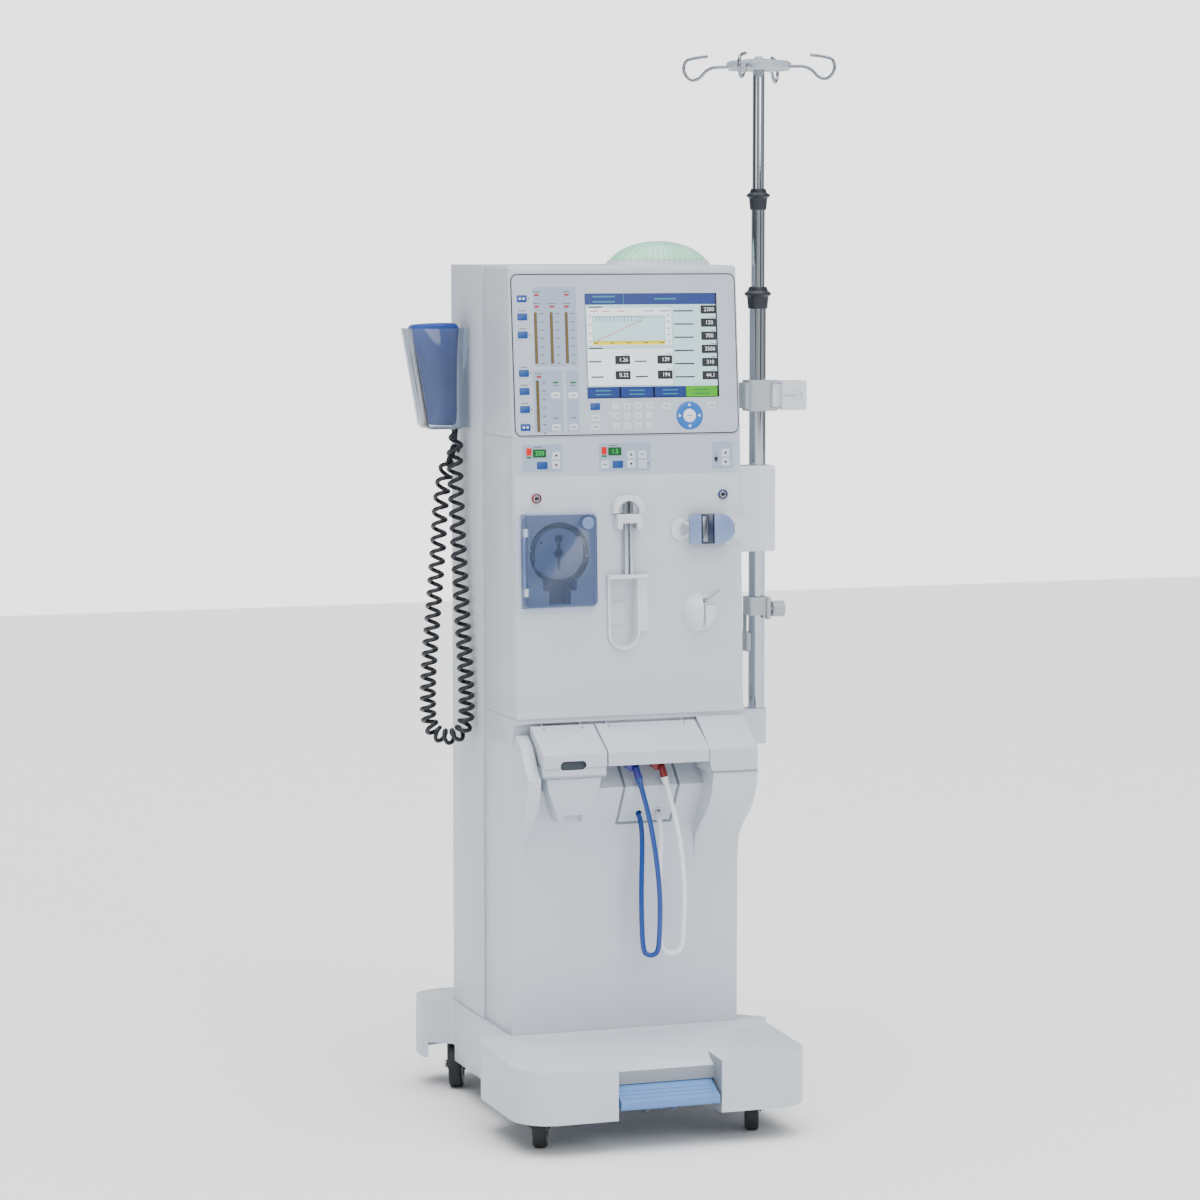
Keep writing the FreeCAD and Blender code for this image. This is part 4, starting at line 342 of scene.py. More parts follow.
def woven_nylon():
    """Woven nylon: fine crossed ribs, creased shades of blue, the soft sheen of cloth."""
    made, tree, place = blank_material("woven nylon")
    waves = []
    for way in "ZX":
        ribs = add(tree, "ShaderNodeTexWave", {"Vector": place, "Scale": 1000 / THREAD_MM / 6.28,
                                               "Distortion": 0.4}, bands_direction=way)
        waves.append(ribs.outputs["Fac"])
    weave = add(tree, "ShaderNodeMath", {0: waves[0], 1: waves[1]}, operation="MULTIPLY")
    tone = two_tone(tree, clouds(tree, place, 35, Detail=3.0), "15489F", "0E3A8C")
    body = add(tree, "ShaderNodeBsdfPrincipled", {
        "Base Color": tone, "Roughness": 0.72, "Sheen Weight": 0.35, "Sheen Roughness": 0.4,
        "Normal": relief(tree, weave.outputs["Value"], 0.6, 0.3)})
    return shown(made, body)


CUFF_CLOTH = woven_nylon()


# Status lamp
LAMP_AXIS = (84, -14, 1318)
LAMP_RIBS = 34


def lamp_lens():
    """A moulded lens whose upright ribs catch the green light behind it."""
    made, tree, place = blank_material("ribbed lamp lens")
    moved = add(tree, "ShaderNodeMapping", {"Vector": place, "Location": -at(*LAMP_AXIS)})
    ring = add(tree, "ShaderNodeTexGradient", {"Vector": moved.outputs["Vector"]}, gradient_type="RADIAL")
    ribs = add(tree, "ShaderNodeMath", {0: ring.outputs["Fac"], 1: 2 * math.pi * LAMP_RIBS},
               operation="MULTIPLY")
    comb = add(tree, "ShaderNodeMath", {0: ribs.outputs["Value"]}, operation="SINE").outputs["Value"]
    soft = add(tree, "ShaderNodeMapRange", {"Value": comb, "From Min": -1.0, "From Max": 1.0,
                                            "To Min": 0.25, "To Max": 0.75})
    both = add(tree, "ShaderNodeMath", {0: soft.outputs["Result"], 1: clouds(tree, place, 40, Detail=1.0)},
               operation="MULTIPLY")
    tone = two_tone(tree, both.outputs["Value"], "6FC9A2", "F0FBF6")
    body = add(tree, "ShaderNodeBsdfPrincipled", {
        "Base Color": tone, "Roughness": 0.22, "IOR": 1.58, "Subsurface Weight": 0.2,
        "Emission Color": tone, "Emission Strength": 0.28, "Normal": relief(tree, comb, 0.35, 0.8)})
    return shown(made, body)


LAMP_LENS = lamp_lens()


# Cords: two dialysate tubes and the curly cuff hose

def route_curve(name, points, radius):
    """One NURBS spline through a cord's route, its points used as control points."""
    data = bpy.data.curves.new(name, "CURVE")
    data.dimensions = "3D"
    data.resolution_u = 12
    data.bevel_depth = radius
    data.bevel_resolution = 6
    data.use_fill_caps = True
    line = data.splines.new("NURBS")
    line.points.add(len(points) - 1)
    for knot, place in zip(line.points, points):
        knot.co = (*place, 1)
    line.order_u = 3
    line.use_endpoint_u = True
    curve = linked(name, data)
    return curve


def line_points(curve):
    """Points of a curve's own centreline, read from the curve with no bevel."""
    bpy.context.view_layer.update()
    mesh = bpy.data.meshes.new_from_object(curve)
    points = [Vector(v.co) for v in mesh.vertices]
    bpy.data.meshes.remove(mesh)
    return points


def line_length(points):
    """Length of a line through points, in metres."""
    return sum((b - a).length for a, b in zip(points, points[1:]))


TUBE_RADIUS = 0.004
BLUE_ROUTE = [(4, -151, 546), (12, -155, 515), (22, -159, 470), (30, -163, 415), (34, -166, 362),
              (33.5, -167, 318), (31.5, -166.5, 278), (25, -163.3, 270.7), (16, -158.7, 270.7),
              (9.5, -155.5, 278), (9, -150, 340), (11, -145, 390), (14, -140, 432), (16, -132, 466),
              (16, -118, 486), (16, -104.5, 487)]
WHITE_ROUTE = [(46, -151, 546), (54, -156, 513), (64, -161, 470), (71, -164, 418), (74, -167, 366),
               (72, -168, 322), (70, -168, 282), (60.6, -164.5, 272), (47.4, -159.5, 272), (38, -156, 282),
               (37, -154, 342), (39, -150, 392), (43, -143, 434), (47, -133, 467), (47, -118, 486),
               (47, -104.5, 487)]
HOSE_ROUTE = [(-207, 118, 1073.7), (-207, 118, 1042), (-208, 114, 1004), (-207, 109, 950),
              (-206.5, 103, 892), (-205.5, 96, 834), (-205, 88, 776), (-204.5, 78, 720), (-204.5, 69, 668),
              (-205, 66, 609), (-220, 78.3, 590), (-241, 95.7, 590), (-256, 108, 609), (-256, 108, 674),
              (-251, 111, 730), (-244, 115, 790), (-238, 119, 850), (-232, 125, 900), (-228, 132, 940),
              (-221.5, 139, 976), (-213.4, 147.2, 1006.6), (-203.2, 152.7, 1028.7)]


def route_points(curve):
    """Points of a bevelled curve's centreline, read from a bare copy of it."""
    data = curve.data.copy()
    data.bevel_depth = 0
    bare = linked("bare_line", data)
    points = line_points(bare)
    bpy.data.objects.remove(bare)
    return points


def make_dialysate_tube(node, route, finish):
    """One of the two PVC tubes that hang in a loop before the column."""
    tube = route_curve(node + "_line", [at(*p) for p in route], TUBE_RADIUS)
    tube.data.materials.append(finish)
    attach(tube, "machine")
    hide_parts(node)
    line_length(route_points(tube))


WIRE_RADIUS = 0.0035
COIL_RADIUS = 0.0101
COIL_STEPS = 16


def coil_points(path):
    """Helix round a route: turns lie closer where the hose hangs slack at the bottom."""
    lengths = [0.0]
    for a, b in zip(path, path[1:]):
        lengths.append(lengths[-1] + (b - a).length)
    whole = lengths[-1]
    points = []
    angle = 0.0
    travel = 0.0
    side = Vector((1, 0, 0))
    index = 0
    while travel < whole:
        while lengths[index + 1] < travel:
            index += 1
        share = (travel - lengths[index]) / (lengths[index + 1] - lengths[index])
        place = path[index].lerp(path[index + 1], share)
        along = (path[index + 1] - path[index]).normalized()
        side = (side - along * side.dot(along)).normalized()
        other = along.cross(side)
        ends = min(travel, whole - travel)
        radius = COIL_RADIUS * min(1, 0.05 + ends / 0.022)
        points.append(place + (side * math.cos(angle) + other * math.sin(angle)) * radius)
        height = max(0.0, min(1.0, (place.z - 0.59) / 0.45))
        pitch = 0.0155 + 0.0095 * height
        angle += 2 * math.pi / COIL_STEPS
        travel += pitch / COIL_STEPS
    points.append(path[-1])
    return points


def make_curly_hose():
    """The cuff's coiled hose, which hangs down beside the rear cover."""
    guide = route_curve("hose_guide", [at(*p) for p in HOSE_ROUTE], 0)
    path = line_points(guide)
    bpy.data.objects.remove(guide)
    hose = route_curve("cuff_hose_line", coil_points(path), WIRE_RADIUS)
    hose.data.resolution_u = 3
    hose.data.bevel_resolution = 4
    hose.data.materials.append(HOSE_BLACK)
    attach(hose, "machine")
    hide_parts("cuff_hose")
    line_length(route_points(hose))


make_dialysate_tube("blue_tube", BLUE_ROUTE, TUBE_BLUE)
make_dialysate_tube("white_tube", WHITE_ROUTE, TUBE_WHITE)
make_curly_hose()


# Working pieces

def mode(name):
    """Go to edit or object mode."""
    bpy.ops.object.mode_set(mode=name)


def only(piece):
    """Select this piece alone and make it the active one."""
    bpy.ops.object.select_all(action="DESELECT")
    piece.select_set(True)
    bpy.context.view_layer.objects.active = piece


def settle(piece):
    """Put the piece's place into its mesh, so that its object stays at the origin."""
    only(piece)
    bpy.ops.object.transform_apply(location=True, rotation=True, scale=True)


def pick_edges(piece, wanted):
    """Enter edit mode with the edges whose two ends pass a test."""
    only(piece)
    mode("EDIT")
    bpy.ops.mesh.select_mode(type="EDGE")
    bpy.ops.mesh.select_all(action="DESELECT")
    mode("OBJECT")
    ends = piece.data.vertices
    for edge in piece.data.edges:
        edge.select = wanted(ends[edge.vertices[0]].co, ends[edge.vertices[1]].co)
    mode("EDIT")


def bevel_some(piece, wanted, width_mm, steps, clamp=False):
    """Round the edges whose two ends pass a test."""
    pick_edges(piece, wanted)
    bpy.ops.mesh.bevel(offset=width_mm / 1000, segments=steps, clamp_overlap=clamp)
    mode("OBJECT")


def shape_by(piece, kind, **settings):
    """Add one modifier with its settings and apply it."""
    modifier = piece.modifiers.new(kind.lower(), kind)
    for name, value in settings.items():
        setattr(modifier, name, value)
    bpy.ops.object.modifier_apply(modifier=modifier.name)


def smooth_shade(angle=35):
    """Shade the active piece smooth, with edges sharper than an angle kept crisp."""
    bpy.ops.object.shade_smooth_by_angle(angle=math.radians(angle))


def bevel_edges(piece, edge_mm, steps=3, angle=30):
    """Break every edge sharper than an angle."""
    only(piece)
    shape_by(piece, "BEVEL", width=edge_mm / 1000, segments=steps, limit_method="ANGLE",
             angle_limit=math.radians(angle), use_clamp_overlap=True)
    smooth_shade()


def give(piece, finish):
    """Make a finish the piece's only one."""
    piece.data.materials.clear()
    piece.data.materials.append(finish)


def start_copy(node, name):
    """A copy of a drawn piece in edit mode, its doubled vertices merged."""
    piece = linked(name, frame["nodes"][node].data.copy())
    only(piece)
    bpy.ops.mesh.customdata_custom_splitnormals_clear()
    mode("EDIT")
    bpy.ops.mesh.select_all(action="SELECT")
    bpy.ops.mesh.remove_doubles(threshold=0.00002)
    return piece


def body_of(node):
    """The body that a drawn piece rides on."""
    return frame["nodes"][node]["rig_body"]


def moulded(node, finish, edge_mm=0.8, angle=40, soften=None):
    """A drawn piece with its sharp edges broken as a mould or a press leaves them."""
    piece = start_copy(node, node + "_shell")
    bpy.ops.mesh.dissolve_limited(angle_limit=math.radians(0.8))
    mode("OBJECT")
    give(piece, finish)
    for wanted, width, steps in soften or []:
        bevel_some(piece, wanted, width, steps, clamp=True)
    bevel_edges(piece, edge_mm, 3, angle)
    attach(piece, body_of(node))
    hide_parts(node)
    return piece


def paint(piece, finish, inside):
    """Give the faces that pass a test another finish."""
    piece.data.materials.append(finish)
    index = len(piece.data.materials) - 1
    for face in piece.data.polygons:
        if inside(face):
            face.material_index = index


def paint_at(piece, finish, inside, leaning=None):
    """Paint the faces whose middle, as a place in the drawing, passes a test."""
    paint(piece, finish, lambda face: inside(drawn_place(face.center, leaning)))


def drawn_place(point, face=None):
    """A point of the row's frame in the drawing's millimetres, stood upright if its face leans."""
    if face:
        point = lean_matrix(face).inverted() @ point
    return (point - SHIFT) * 1000


def finish_node(node, finish):
    """A drawn piece shown as it is, in its finish."""
    give(frame["nodes"][node], finish)


def lean(piece, face):
    """Lean a piece that was made upright back with the face it stands on."""
    piece.matrix_world = lean_matrix(face) @ piece.matrix_world
    settle(piece)


def spread(piece, steps, face):
    """Copies of a finished piece, stepped (x, z) across its face and joined to it."""
    up = lean_matrix(face).to_3x3() @ Vector((0, 0, 1))
    twins = []
    for x, z in steps:
        twin = piece.copy()
        twin.data = piece.data.copy()
        twin.data.transform(Matrix.Translation(Vector((x / 1000, 0, 0)) + up * (z / 1000)))
        bpy.context.scene.collection.objects.link(twin)
        twins.append(twin)
    join(piece, twins)


def join(piece, others):
    """Make one piece of several."""
    only(piece)
    for other in others:
        other.select_set(True)
    bpy.ops.object.join()


def mount(piece, finish, face, body, places=((0, 0),)):
    """Finish a piece that was made upright, lean it back with its face, repeat it and let it ride."""
    piece.data.materials.append(finish)
    lean(piece, face)
    x, z = places[0]
    steps = [(px - x, pz - z) for px, pz in places[1:]]
    if steps:
        spread(piece, steps, face)
    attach(piece, body)
    return piece


def named(name):
    """The piece that an operator has just made, with its name."""
    piece = bpy.context.object
    piece.name = name
    return piece


def tile(name, places, width, height, out, thick, corner, finish, face, body="machine", edge=0.0):
    """Plates with rounded corners, all of one size, at their middles on a face."""
    x, z = places[0]
    bpy.ops.mesh.primitive_cube_add(size=1, location=at(x, face[0] - out - thick / 2, z))
    piece = named(name)
    piece.scale = (width / 1000, thick / 1000, height / 1000)
    settle(piece)
    if corner:
        bevel_some(piece, lambda a, b: abs(a.y - b.y) > 1e-6, corner, 4)
    if edge:
        front = min(v.co.y for v in piece.data.vertices) + 1e-6
        bevel_some(piece, lambda a, b: a.y < front and b.y < front, edge, 3)
        smooth_shade()
    return mount(piece, finish, face, body, places)


def disc(name, places, radius, out, thick, finish, face, body="machine", sides=32, turn=0.0, edge=0.0,
         bore=0.0):
    """Round, three-sided or six-sided plates on a face, or rings if they have a bore."""
    x, z = places[0]
    bpy.ops.mesh.primitive_cylinder_add(vertices=sides, radius=radius / 1000, depth=thick / 1000,
                                        end_fill_type="NOTHING" if bore else "NGON",
                                        location=at(x, face[0] - out - thick / 2, z),
                                        rotation=(math.pi / 2, math.radians(turn), 0))
    piece = named(name)
    settle(piece)
    if bore:
        shape_by(piece, "SOLIDIFY", thickness=(radius - bore) / 1000, offset=-1)
    if edge:
        bevel_edges(piece, edge, 3, 50)
    else:
        smooth_shade()
    return mount(piece, finish, face, body, places)


def frame_line(name, x0, x1, z0, z1, corner, width, out, thick, finish, face, body="machine"):
    """A thin raised line that runs round a panel."""
    bpy.ops.mesh.primitive_plane_add(size=1, location=at((x0 + x1) / 2, face[0] - out, (z0 + z1) / 2),
                                     rotation=(math.pi / 2, 0, 0))
    piece = named(name)
    piece.scale = ((x1 - x0) / 1000, (z1 - z0) / 1000, 1)
    settle(piece)
    mode("EDIT")
    bpy.ops.mesh.select_all(action="SELECT")
    if corner:
        bpy.ops.mesh.bevel(offset=corner / 1000, segments=6, affect="VERTICES")
        bpy.ops.mesh.select_all(action="SELECT")
    bpy.ops.mesh.inset(thickness=width / 1000)
    bpy.ops.mesh.delete(type="FACE")
    mode("OBJECT")
    shape_by(piece, "SOLIDIFY", thickness=thick / 1000, offset=1)
    return mount(piece, finish, face, body)


def figures(name, words, size, out, finish, face, body="machine"):
    """Plain numerals printed on a face: (text, x, z) each, centred."""
    made = []
    for text, x, z in words:
        bpy.ops.object.text_add(location=at(x, face[0] - out, z), rotation=(math.pi / 2, 0, 0))
        sign = bpy.context.object.data
        sign.body = text
        sign.size = size / 1000
        sign.align_x = "CENTER"
        sign.align_y = "CENTER"
        sign.extrude = 0.00002
        sign.resolution_u = 3
        bpy.ops.object.convert(target="MESH")
        made.append(bpy.context.object)
    piece = made[0]
    join(piece, made[1:])
    piece.name = name
    settle(piece)
    piece.data.materials.clear()
    return mount(piece, finish, face, body)


def bead(name, route, radius, finish, body="machine"):
    """A thin seal or bar along a smooth line, made a mesh."""
    line = route_curve(name, route, radius / 1000)
    line.data.bevel_resolution = 3
    only(line)
    bpy.ops.object.convert(target="MESH")
    piece = bpy.context.object
    give(piece, finish)
    smooth_shade(50)
    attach(piece, body)
    return piece


def sleeve(name, start, end, wide, slim, finish, body="machine"):
    """Tapered strain relief with rings moulded round it, from a housing along a cord."""
    axis = end - start
    turn = axis.to_track_quat("Z", "Y").to_euler()
    bpy.ops.mesh.primitive_cone_add(vertices=32, radius1=wide / 1000, radius2=slim / 1000,
                                    depth=axis.length, location=(start + end) / 2, rotation=turn)
    piece = named(name)
    bpy.ops.object.transform_apply(location=False, rotation=False, scale=True)
    mode("EDIT")
    half = axis.length / 2
    for step in range(1, 8):
        bpy.ops.mesh.select_all(action="SELECT")
        level = -half + axis.length * step / 8
        spot = piece.matrix_world @ Vector((0, 0, level))
        bpy.ops.mesh.bisect(plane_co=spot, plane_no=axis.normalized())
    mode("OBJECT")
    for vertex in piece.data.vertices:
        step = round((vertex.co.z + half) / axis.length * 8)
        if step in (2, 4, 6):
            vertex.co.x *= 0.86
            vertex.co.y *= 0.86
    piece.data.materials.append(finish)
    settle(piece)
    bevel_edges(piece, 0.3, 2, 25)
    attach(piece, body)
    return piece


# Housings, covers and small mouldings, with the edges that the mould leaves

def outer_rim(height, out_x, out_y):
    """Test for the edges of the base's top outline."""
    def wanted(a, b):
        high = min(a.z, b.z) > height
        middle = drawn_place((a + b) / 2)
        outside = abs(middle.x) > out_x or abs(middle.y) > out_y
        return high and outside
    return wanted


def column_corner(half):
    """Test for the front column's upright corners."""
    def wanted(a, b):
        p, q = drawn_place(a), drawn_place(b)
        upright = abs(p.x - q.x) < 0.1 and abs(p.y - q.y) < 0.1 and abs(p.z - q.z) > 60
        return upright and abs(abs(p.x) - half) < 0.5 and p.y < -100 and max(p.z, q.z) < 470
    return wanted


base_shell = moulded("base_cover", HOUSING, 1.6, 40, [(outer_rim(0.125, 228, 300), 7, 5)])


def in_notch_shade(face):
    """Test for the walls of the pedal's notch, without the base's top: these walls take painted shade."""
    p = drawn_place(face.center)
    return abs(p.x) < 83.6 and -305 < p.y < -215 and 56 < p.z < 138.5 and face.normal.z < 0.3


# Painted shade: the notch walls get a grey as dark as their shade
paint(base_shell, NOTCH_PAINTED_SHADE, in_notch_shade)
moulded("lower_front_cover", HOUSING, 1.2, 40, [(column_corner(186), 3, 4)])
for node_name in ("rear_cover", "monitor_housing", "module_housing"):
    moulded(node_name, HOUSING, 1.4)
for node_name in ("left_flap", "centre_flap", "right_cover", "cartridge_holder"):
    moulded(node_name, COVER, 1.1)
for node_name in ("heparin_slider", "heparin_cradle", "pole_bracket", "clamp_body"):
    moulded(node_name, MOULDING, 0.7)
moulded("holder_arm", MOULDING, 0.9)
moulded("holder_body", GREY_PART, 0.9)
moulded("small_clamp", GREY_PART, 0.8)
moulded("clamp_knob", GREY_PART, 0.8)
moulded("connector_panel", COVER, 0.3)
moulded("blue_coupling", COUPLING_BLUE, 0.5)
moulded("red_coupling", COUPLING_RED, 0.5)
for node_name in ("hydraulic_block", "electronics_rack", "pump_motor", "base_frame"):
    finish_node(node_name, FRAME_STEEL)
for node_name, finish in (("panel_gasket", GASKET), ("status_lamp", LAMP_LENS), ("console_panel", FOIL),
                          ("module_panel", FOIL), ("display_screen", SCREEN_DARK)):
    finish_node(node_name, finish)


# Console foil, the picture on the screen and the key strip

# How far the foils and the screen stand out of their faces, and a printed field on a foil
FOIL_OUT = 0.8
SCREEN_OUT = 0.4
FIELD_THICK = 0.08
SCREEN_LEFT = -64
SCREEN_WIDE = 215


def screen_x(share):
    """A place across the screen, from 0 at its left edge to 1 at its right."""
    return SCREEN_LEFT + SCREEN_WIDE * share


def on_panel(face, prefix):
    """Plates, round plates, lines and numerals for one face, whose names start with a prefix."""
    def bound(make):
        return lambda name, *sizes, **more: make(prefix + name, *sizes, face=face, **more)
    return [bound(make) for make in (tile, disc, frame_line, figures)]


def make_console():
    """Keys, lamps, bar displays and print of the console foil."""
    plate, round_plate, line_round, numbers = on_panel(MONITOR, "console_")
    foil = FOIL_OUT
    field = foil + FIELD_THICK
    label = partial(plate, thick=0.06, corner=0.4, finish=PRINT)
    line_round("seam", -182.2, 182.2, 1071.8, 1318.2, 11, 1.5, foil - 0.25, 0.4, SEAL)
    for name, x, z, width, height in (
            ("upper", -112.5, 1237.8, 69, 120.5),
            ("left", -127.5, 1124.5, 47, 95),
            ("right", -87.8, 1124.2, 19.5, 95.5)):
        plate("field_" + name, [(x, z)], width, height, foil, FIELD_THICK, 1.5, FOIL_FIELD)
    blue = [(-165, z) for z in (1280.7, 1253.2, 1225.9, 1167.6, 1140.2, 1112.7, 1085.4)]
    plate("blue_keys", blue + [(-52.2, 1115.6)], 16, 10.8, foil, 0.5, 1.4, KEY_BLUE, edge=0.3)
    plate("key_marks", [(-168, 1280.7), (-162, 1280.7), (-168, 1085.4), (-162, 1085.4)], 3.6, 3.2,
          foil + 0.5, 0.06, 1.2, KEY_WHITE)
    round_plate("key_lamps", [(-154.2, z) for z in (1280.7, 1225.9, 1167.6, 1112.7)], 1.1, foil, 0.3,
                PRINT_DARK, sides=16)
    round_plate("key_lamps_yellow", [(-154.2, 1253.2), (-154.2, 1140.2)], 1.1, foil, 0.3, DOT_YELLOW,
                sides=16)
    round_plate("key_lamp_red", [(-154.2, 1085.4)], 1.2, foil, 0.3, LED_RED, sides=16)
    labels = [(-165, z + 9.2) for z in (1253.2, 1225.9, 1167.6, 1140.2, 1112.7)]
    label("key_lines", labels, 11, 1.3, foil)
    reds = [(-141.4, 1286.3), (-93.4, 1286.4), (-141.5, 1268.6), (-117.1, 1268.5), (-93.8, 1268.5),
            (-141.4, 1161.9)]
    plate("red_lamps", reds, 7.6, 3.0, field, 0.25, 0.8, LED_RED)
    label("red_lines", [(x, z + 4.6) for x, z in reds], 12, 1.2, field)
    greens = [(-115.1, 1153.1), (-86.8, 1152.7)]
    plate("green_lamps", greens, 8.4, 2.8, field, 0.25, 0.8, LED_GREEN)
    label("green_lines", [(x, z - 4.6) for x, z in greens], 7, 1.2, field)
    plate("white_keys", [(-115.2, 1133.7), (-87.3, 1133.3)], 14.6, 9, field, 0.35, 1.2, KEY_WHITE, edge=0.2)
    label("white_key_lines", [(-115.2, 1133.7), (-87.3, 1133.3), (-115.5, 1099), (-87.5, 1099)], 8, 1.3,
          foil + 0.43)
    bars = [(-144, 1221), (-118.7, 1221), (-94.6, 1221)]
    plate("bar_frames", bars, 4.8, 78, field, 0.1, 1.0, PRINT_DARK)
    plate("bars", bars, 3.4, 76.5, foil + 0.18, 0.2, 0.8, BAR_OLIVE)
    plate("long_bar_frame", [(-144, 1117.5)], 4.8, 78, field, 0.1, 1.0, PRINT_DARK)
    plate("long_bar", [(-144, 1117.5)], 3.4, 76.5, foil + 0.18, 0.2, 0.8, BAR_OLIVE)
    ticks = [(x + 5.6, 1258 - 12.6 * i) for x, z in bars for i in range(7)] + \
            [(-138.4, 1153 - 12.8 * i) for i in range(7)]
    plate("ticks", ticks, 2.2, 0.5, field, 0.06, 0, PRINT)
    label("tick_numbers", [(x + 4.6, z) for x, z in ticks], 4.4, 1.5, field)
    light = [(-115.7, 1084.9), (-87.6, 1084.9), (-52.4, 1098.3), (-52.6, 1084.3), (63.7, 1115), (136.9, 1115)]
    plate("pale_keys", light, 14, 10, foil + 0.02, 0.35, 1.4, KEY_LIGHT, edge=0.2)
    label("pale_key_lines", light, 7.6, 1.3, foil + 0.37)
    keys = [(-19 + 18.2 * i, z) for z in (1115.6, 1100.5, 1085.4) for i in range(4)]
    plate("number_keys", keys, 10.6, 10.2, foil + 0.02, 0.35, 1.4, KEY_LIGHT, edge=0.2)
    numbers("numbers", [(text, x, z) for text, (x, z) in zip("7890456.123-", keys)], 5.2, foil + 0.39,
            PRINT_DARK)
    round_plate("ring", [(101.1, 1099.7)], 21.8, foil, 0.6, KEY_RING, sides=64, edge=0.25, bore=10.6)
    round_plate("ring_middle", [(101.1, 1099.7)], 10.1, foil, 0.5, KEY_WHITE, sides=48, edge=0.2)
    label("ring_line", [(101.1, 1099.7)], 8, 1.3, foil + 0.5)
    arrows = (((101.1, 1115.9), 0), ((101.1, 1083.5), 180), ((84.9, 1099.7), 90), ((117.3, 1099.7), -90))
    for index, (place, turn) in enumerate(arrows):
        round_plate("arrow_%d" % index, [place], 3.2, foil + 0.6, 0.08, KEY_WHITE, sides=3, turn=turn)


def make_picture():
    """The lit picture: head line, chart, value boxes and the row of cells."""
    plate, _, line_round, numbers = on_panel(MONITOR, "picture_")
    glass = SCREEN_OUT
    plate("ground", [(42.8, 1208.3)], 212.4, 126, glass, 0.03, 0, LIT_GROUND)
    plate("head", [(42.8, 1279.3)], 212.4, 16.6, glass, 0.05, 0, LIT_BLUE)
    plate("head_line", [(-1.2, 1279.3)], 0.8, 16, glass + 0.05, 0.03, 0, LIT_TEAL)
    plate("head_words", [(-33, 1283.5), (-33, 1275.5), (67, 1279.6)], 36, 2.2, glass + 0.05, 0.03, 0.4,
          LIT_TEAL)
    for index, (left, right) in enumerate(((0, 0.2415), (0.254, 0.497), (0.5094, 0.7447))):
        plate("cell_%d" % index, [(screen_x((left + right) / 2), 1136.9)], SCREEN_WIDE * (right - left),
              16.2, glass, 0.05, 0, LIT_BLUE)
    cells = [(screen_x(0.12), 1139.6), (screen_x(0.12), 1133.6), (screen_x(0.375), 1139.6),
             (screen_x(0.375), 1133.6), (screen_x(0.627), 1139.6), (screen_x(0.627), 1133.6)]
    plate("cell_words", cells, 25, 1.6, glass + 0.05, 0.03, 0.4, LIT_TEAL)
    plate("green_cell", [(screen_x(0.868), 1136.9)], 51.5, 16.2, glass, 0.05, 0, LIT_GREEN)
    plate("green_words", [(screen_x(0.868), 1139.6), (screen_x(0.868), 1133.6)], 26, 1.6, glass + 0.05,
          0.03, 0.4, LED_GREEN)
    for name, z0, z1 in (("chart", 1207.5, 1267.5), ("values", 1146.5, 1204.5)):
        plate("%s_ground" % name, [(7.5, (z0 + z1) / 2)], 140, z1 - z0, glass + 0.03, 0.02, 0, LIT_WHITE)
        line_round("%s_box" % name, -62.5, 77.5, z0, z1, 0, 0.6, glass + 0.05, 0.03, PRINT)
    plate("titles", [(-47, 1267.3), (-48, 1204.3)], 22, 2.0, glass + 0.09, 0.03, 0.4, PRINT_DARK)
    plate("plot", [(6.6, 1234)], 117.5, 40, glass + 0.05, 0.02, 0, LIT_GROUND)
    line_round("plot_box", -52.3, 65.4, 1214, 1254, 0, 0.5, glass + 0.07, 0.03, LIT_TEAL)
    plate("time_bar", [(6.6, 1212.6)], 117.5, 6.2, glass + 0.07, 0.03, 0, LIT_YELLOW)
    plate("time_marks", [(-48 + 27 * i, 1212.4) for i in range(5)], 7, 1.4, glass + 0.1, 0.03, 0.3,
          PRINT_DARK)
    plate("comb_top", [(-11.5, 1252.2)], 81, 0.9, glass + 0.07, 0.04, 0, LIT_TEAL)
    plate("comb", [(-46 + 5.7 * i, 1248.4) for i in range(14)], 1.0, 7.4, glass + 0.07, 0.04, 0, LIT_TEAL)
    plate("green_line", [(47, 1251.4)], 36, 0.8, glass + 0.07, 0.04, 0, LIT_GREEN)
    bead("picture_red_line", [on_face(MONITOR, -46, glass + 0.1, 1215.5),
                              on_face(MONITOR, -10, glass + 0.1, 1230.8),
                              on_face(MONITOR, 28, glass + 0.1, 1247)], 0.5, LIT_RED_LINE)
    plate("red_marks", [(-56.5, 1214.5 + 13 * i) for i in range(4)], 4.5, 1.4, glass + 0.05, 0.03, 0.3,
          LIT_RED_LINE)
    plate("blue_marks", [(71.3, 1214.5 + 9.9 * i) for i in range(5)], 4, 1.4, glass + 0.05, 0.03, 0.3,
          LIT_BLUE)
    plate("legend", [(-50, 1261), (-30, 1261), (-5, 1261)], 12, 1.3, glass + 0.05, 0.03, 0.3, LIT_RED_LINE)
    plate("legend_blue", [(40, 1261), (66, 1261)], 16, 1.3, glass + 0.05, 0.03, 0.3, LIT_BLUE)
    column = [(136.7, 1262.8 - 20.3 * i) for i in range(6)]
    pairs = [(-5.3, 1186.3), (63.4, 1186.3), (-5.3, 1163), (63.4, 1163)]
    boxes = column + pairs
    plate("value_boxes", boxes, 24.4, 13, glass + 0.06, 0.03, 0.8, PRINT_DARK)
    values = ("2300", "120", "700", "3500", "310", "44.1", "1.26", "139", "0.22", "194")
    numbers("values", [(text, x + 1.5, z) for text, (x, z) in zip(values, boxes)], 8.6, glass + 0.11,
            LIT_WHITE)
    plate("value_units", [(x + 7, z + 8.4) for x, z in boxes], 8, 1.0, glass + 0.06, 0.03, 0.3, PRINT)
    plate("row_words", [(96, 1260.8 - 20.3 * i) for i in range(6)], 32, 2.1, glass + 0.06, 0.03, 0.4,
          PRINT_DARK)
    plate("pair_words", [(-50, 1184), (24, 1184), (-47, 1160.5), (25, 1160.5)], 20, 2.1, glass + 0.06, 0.03,
          0.4, PRINT_DARK)


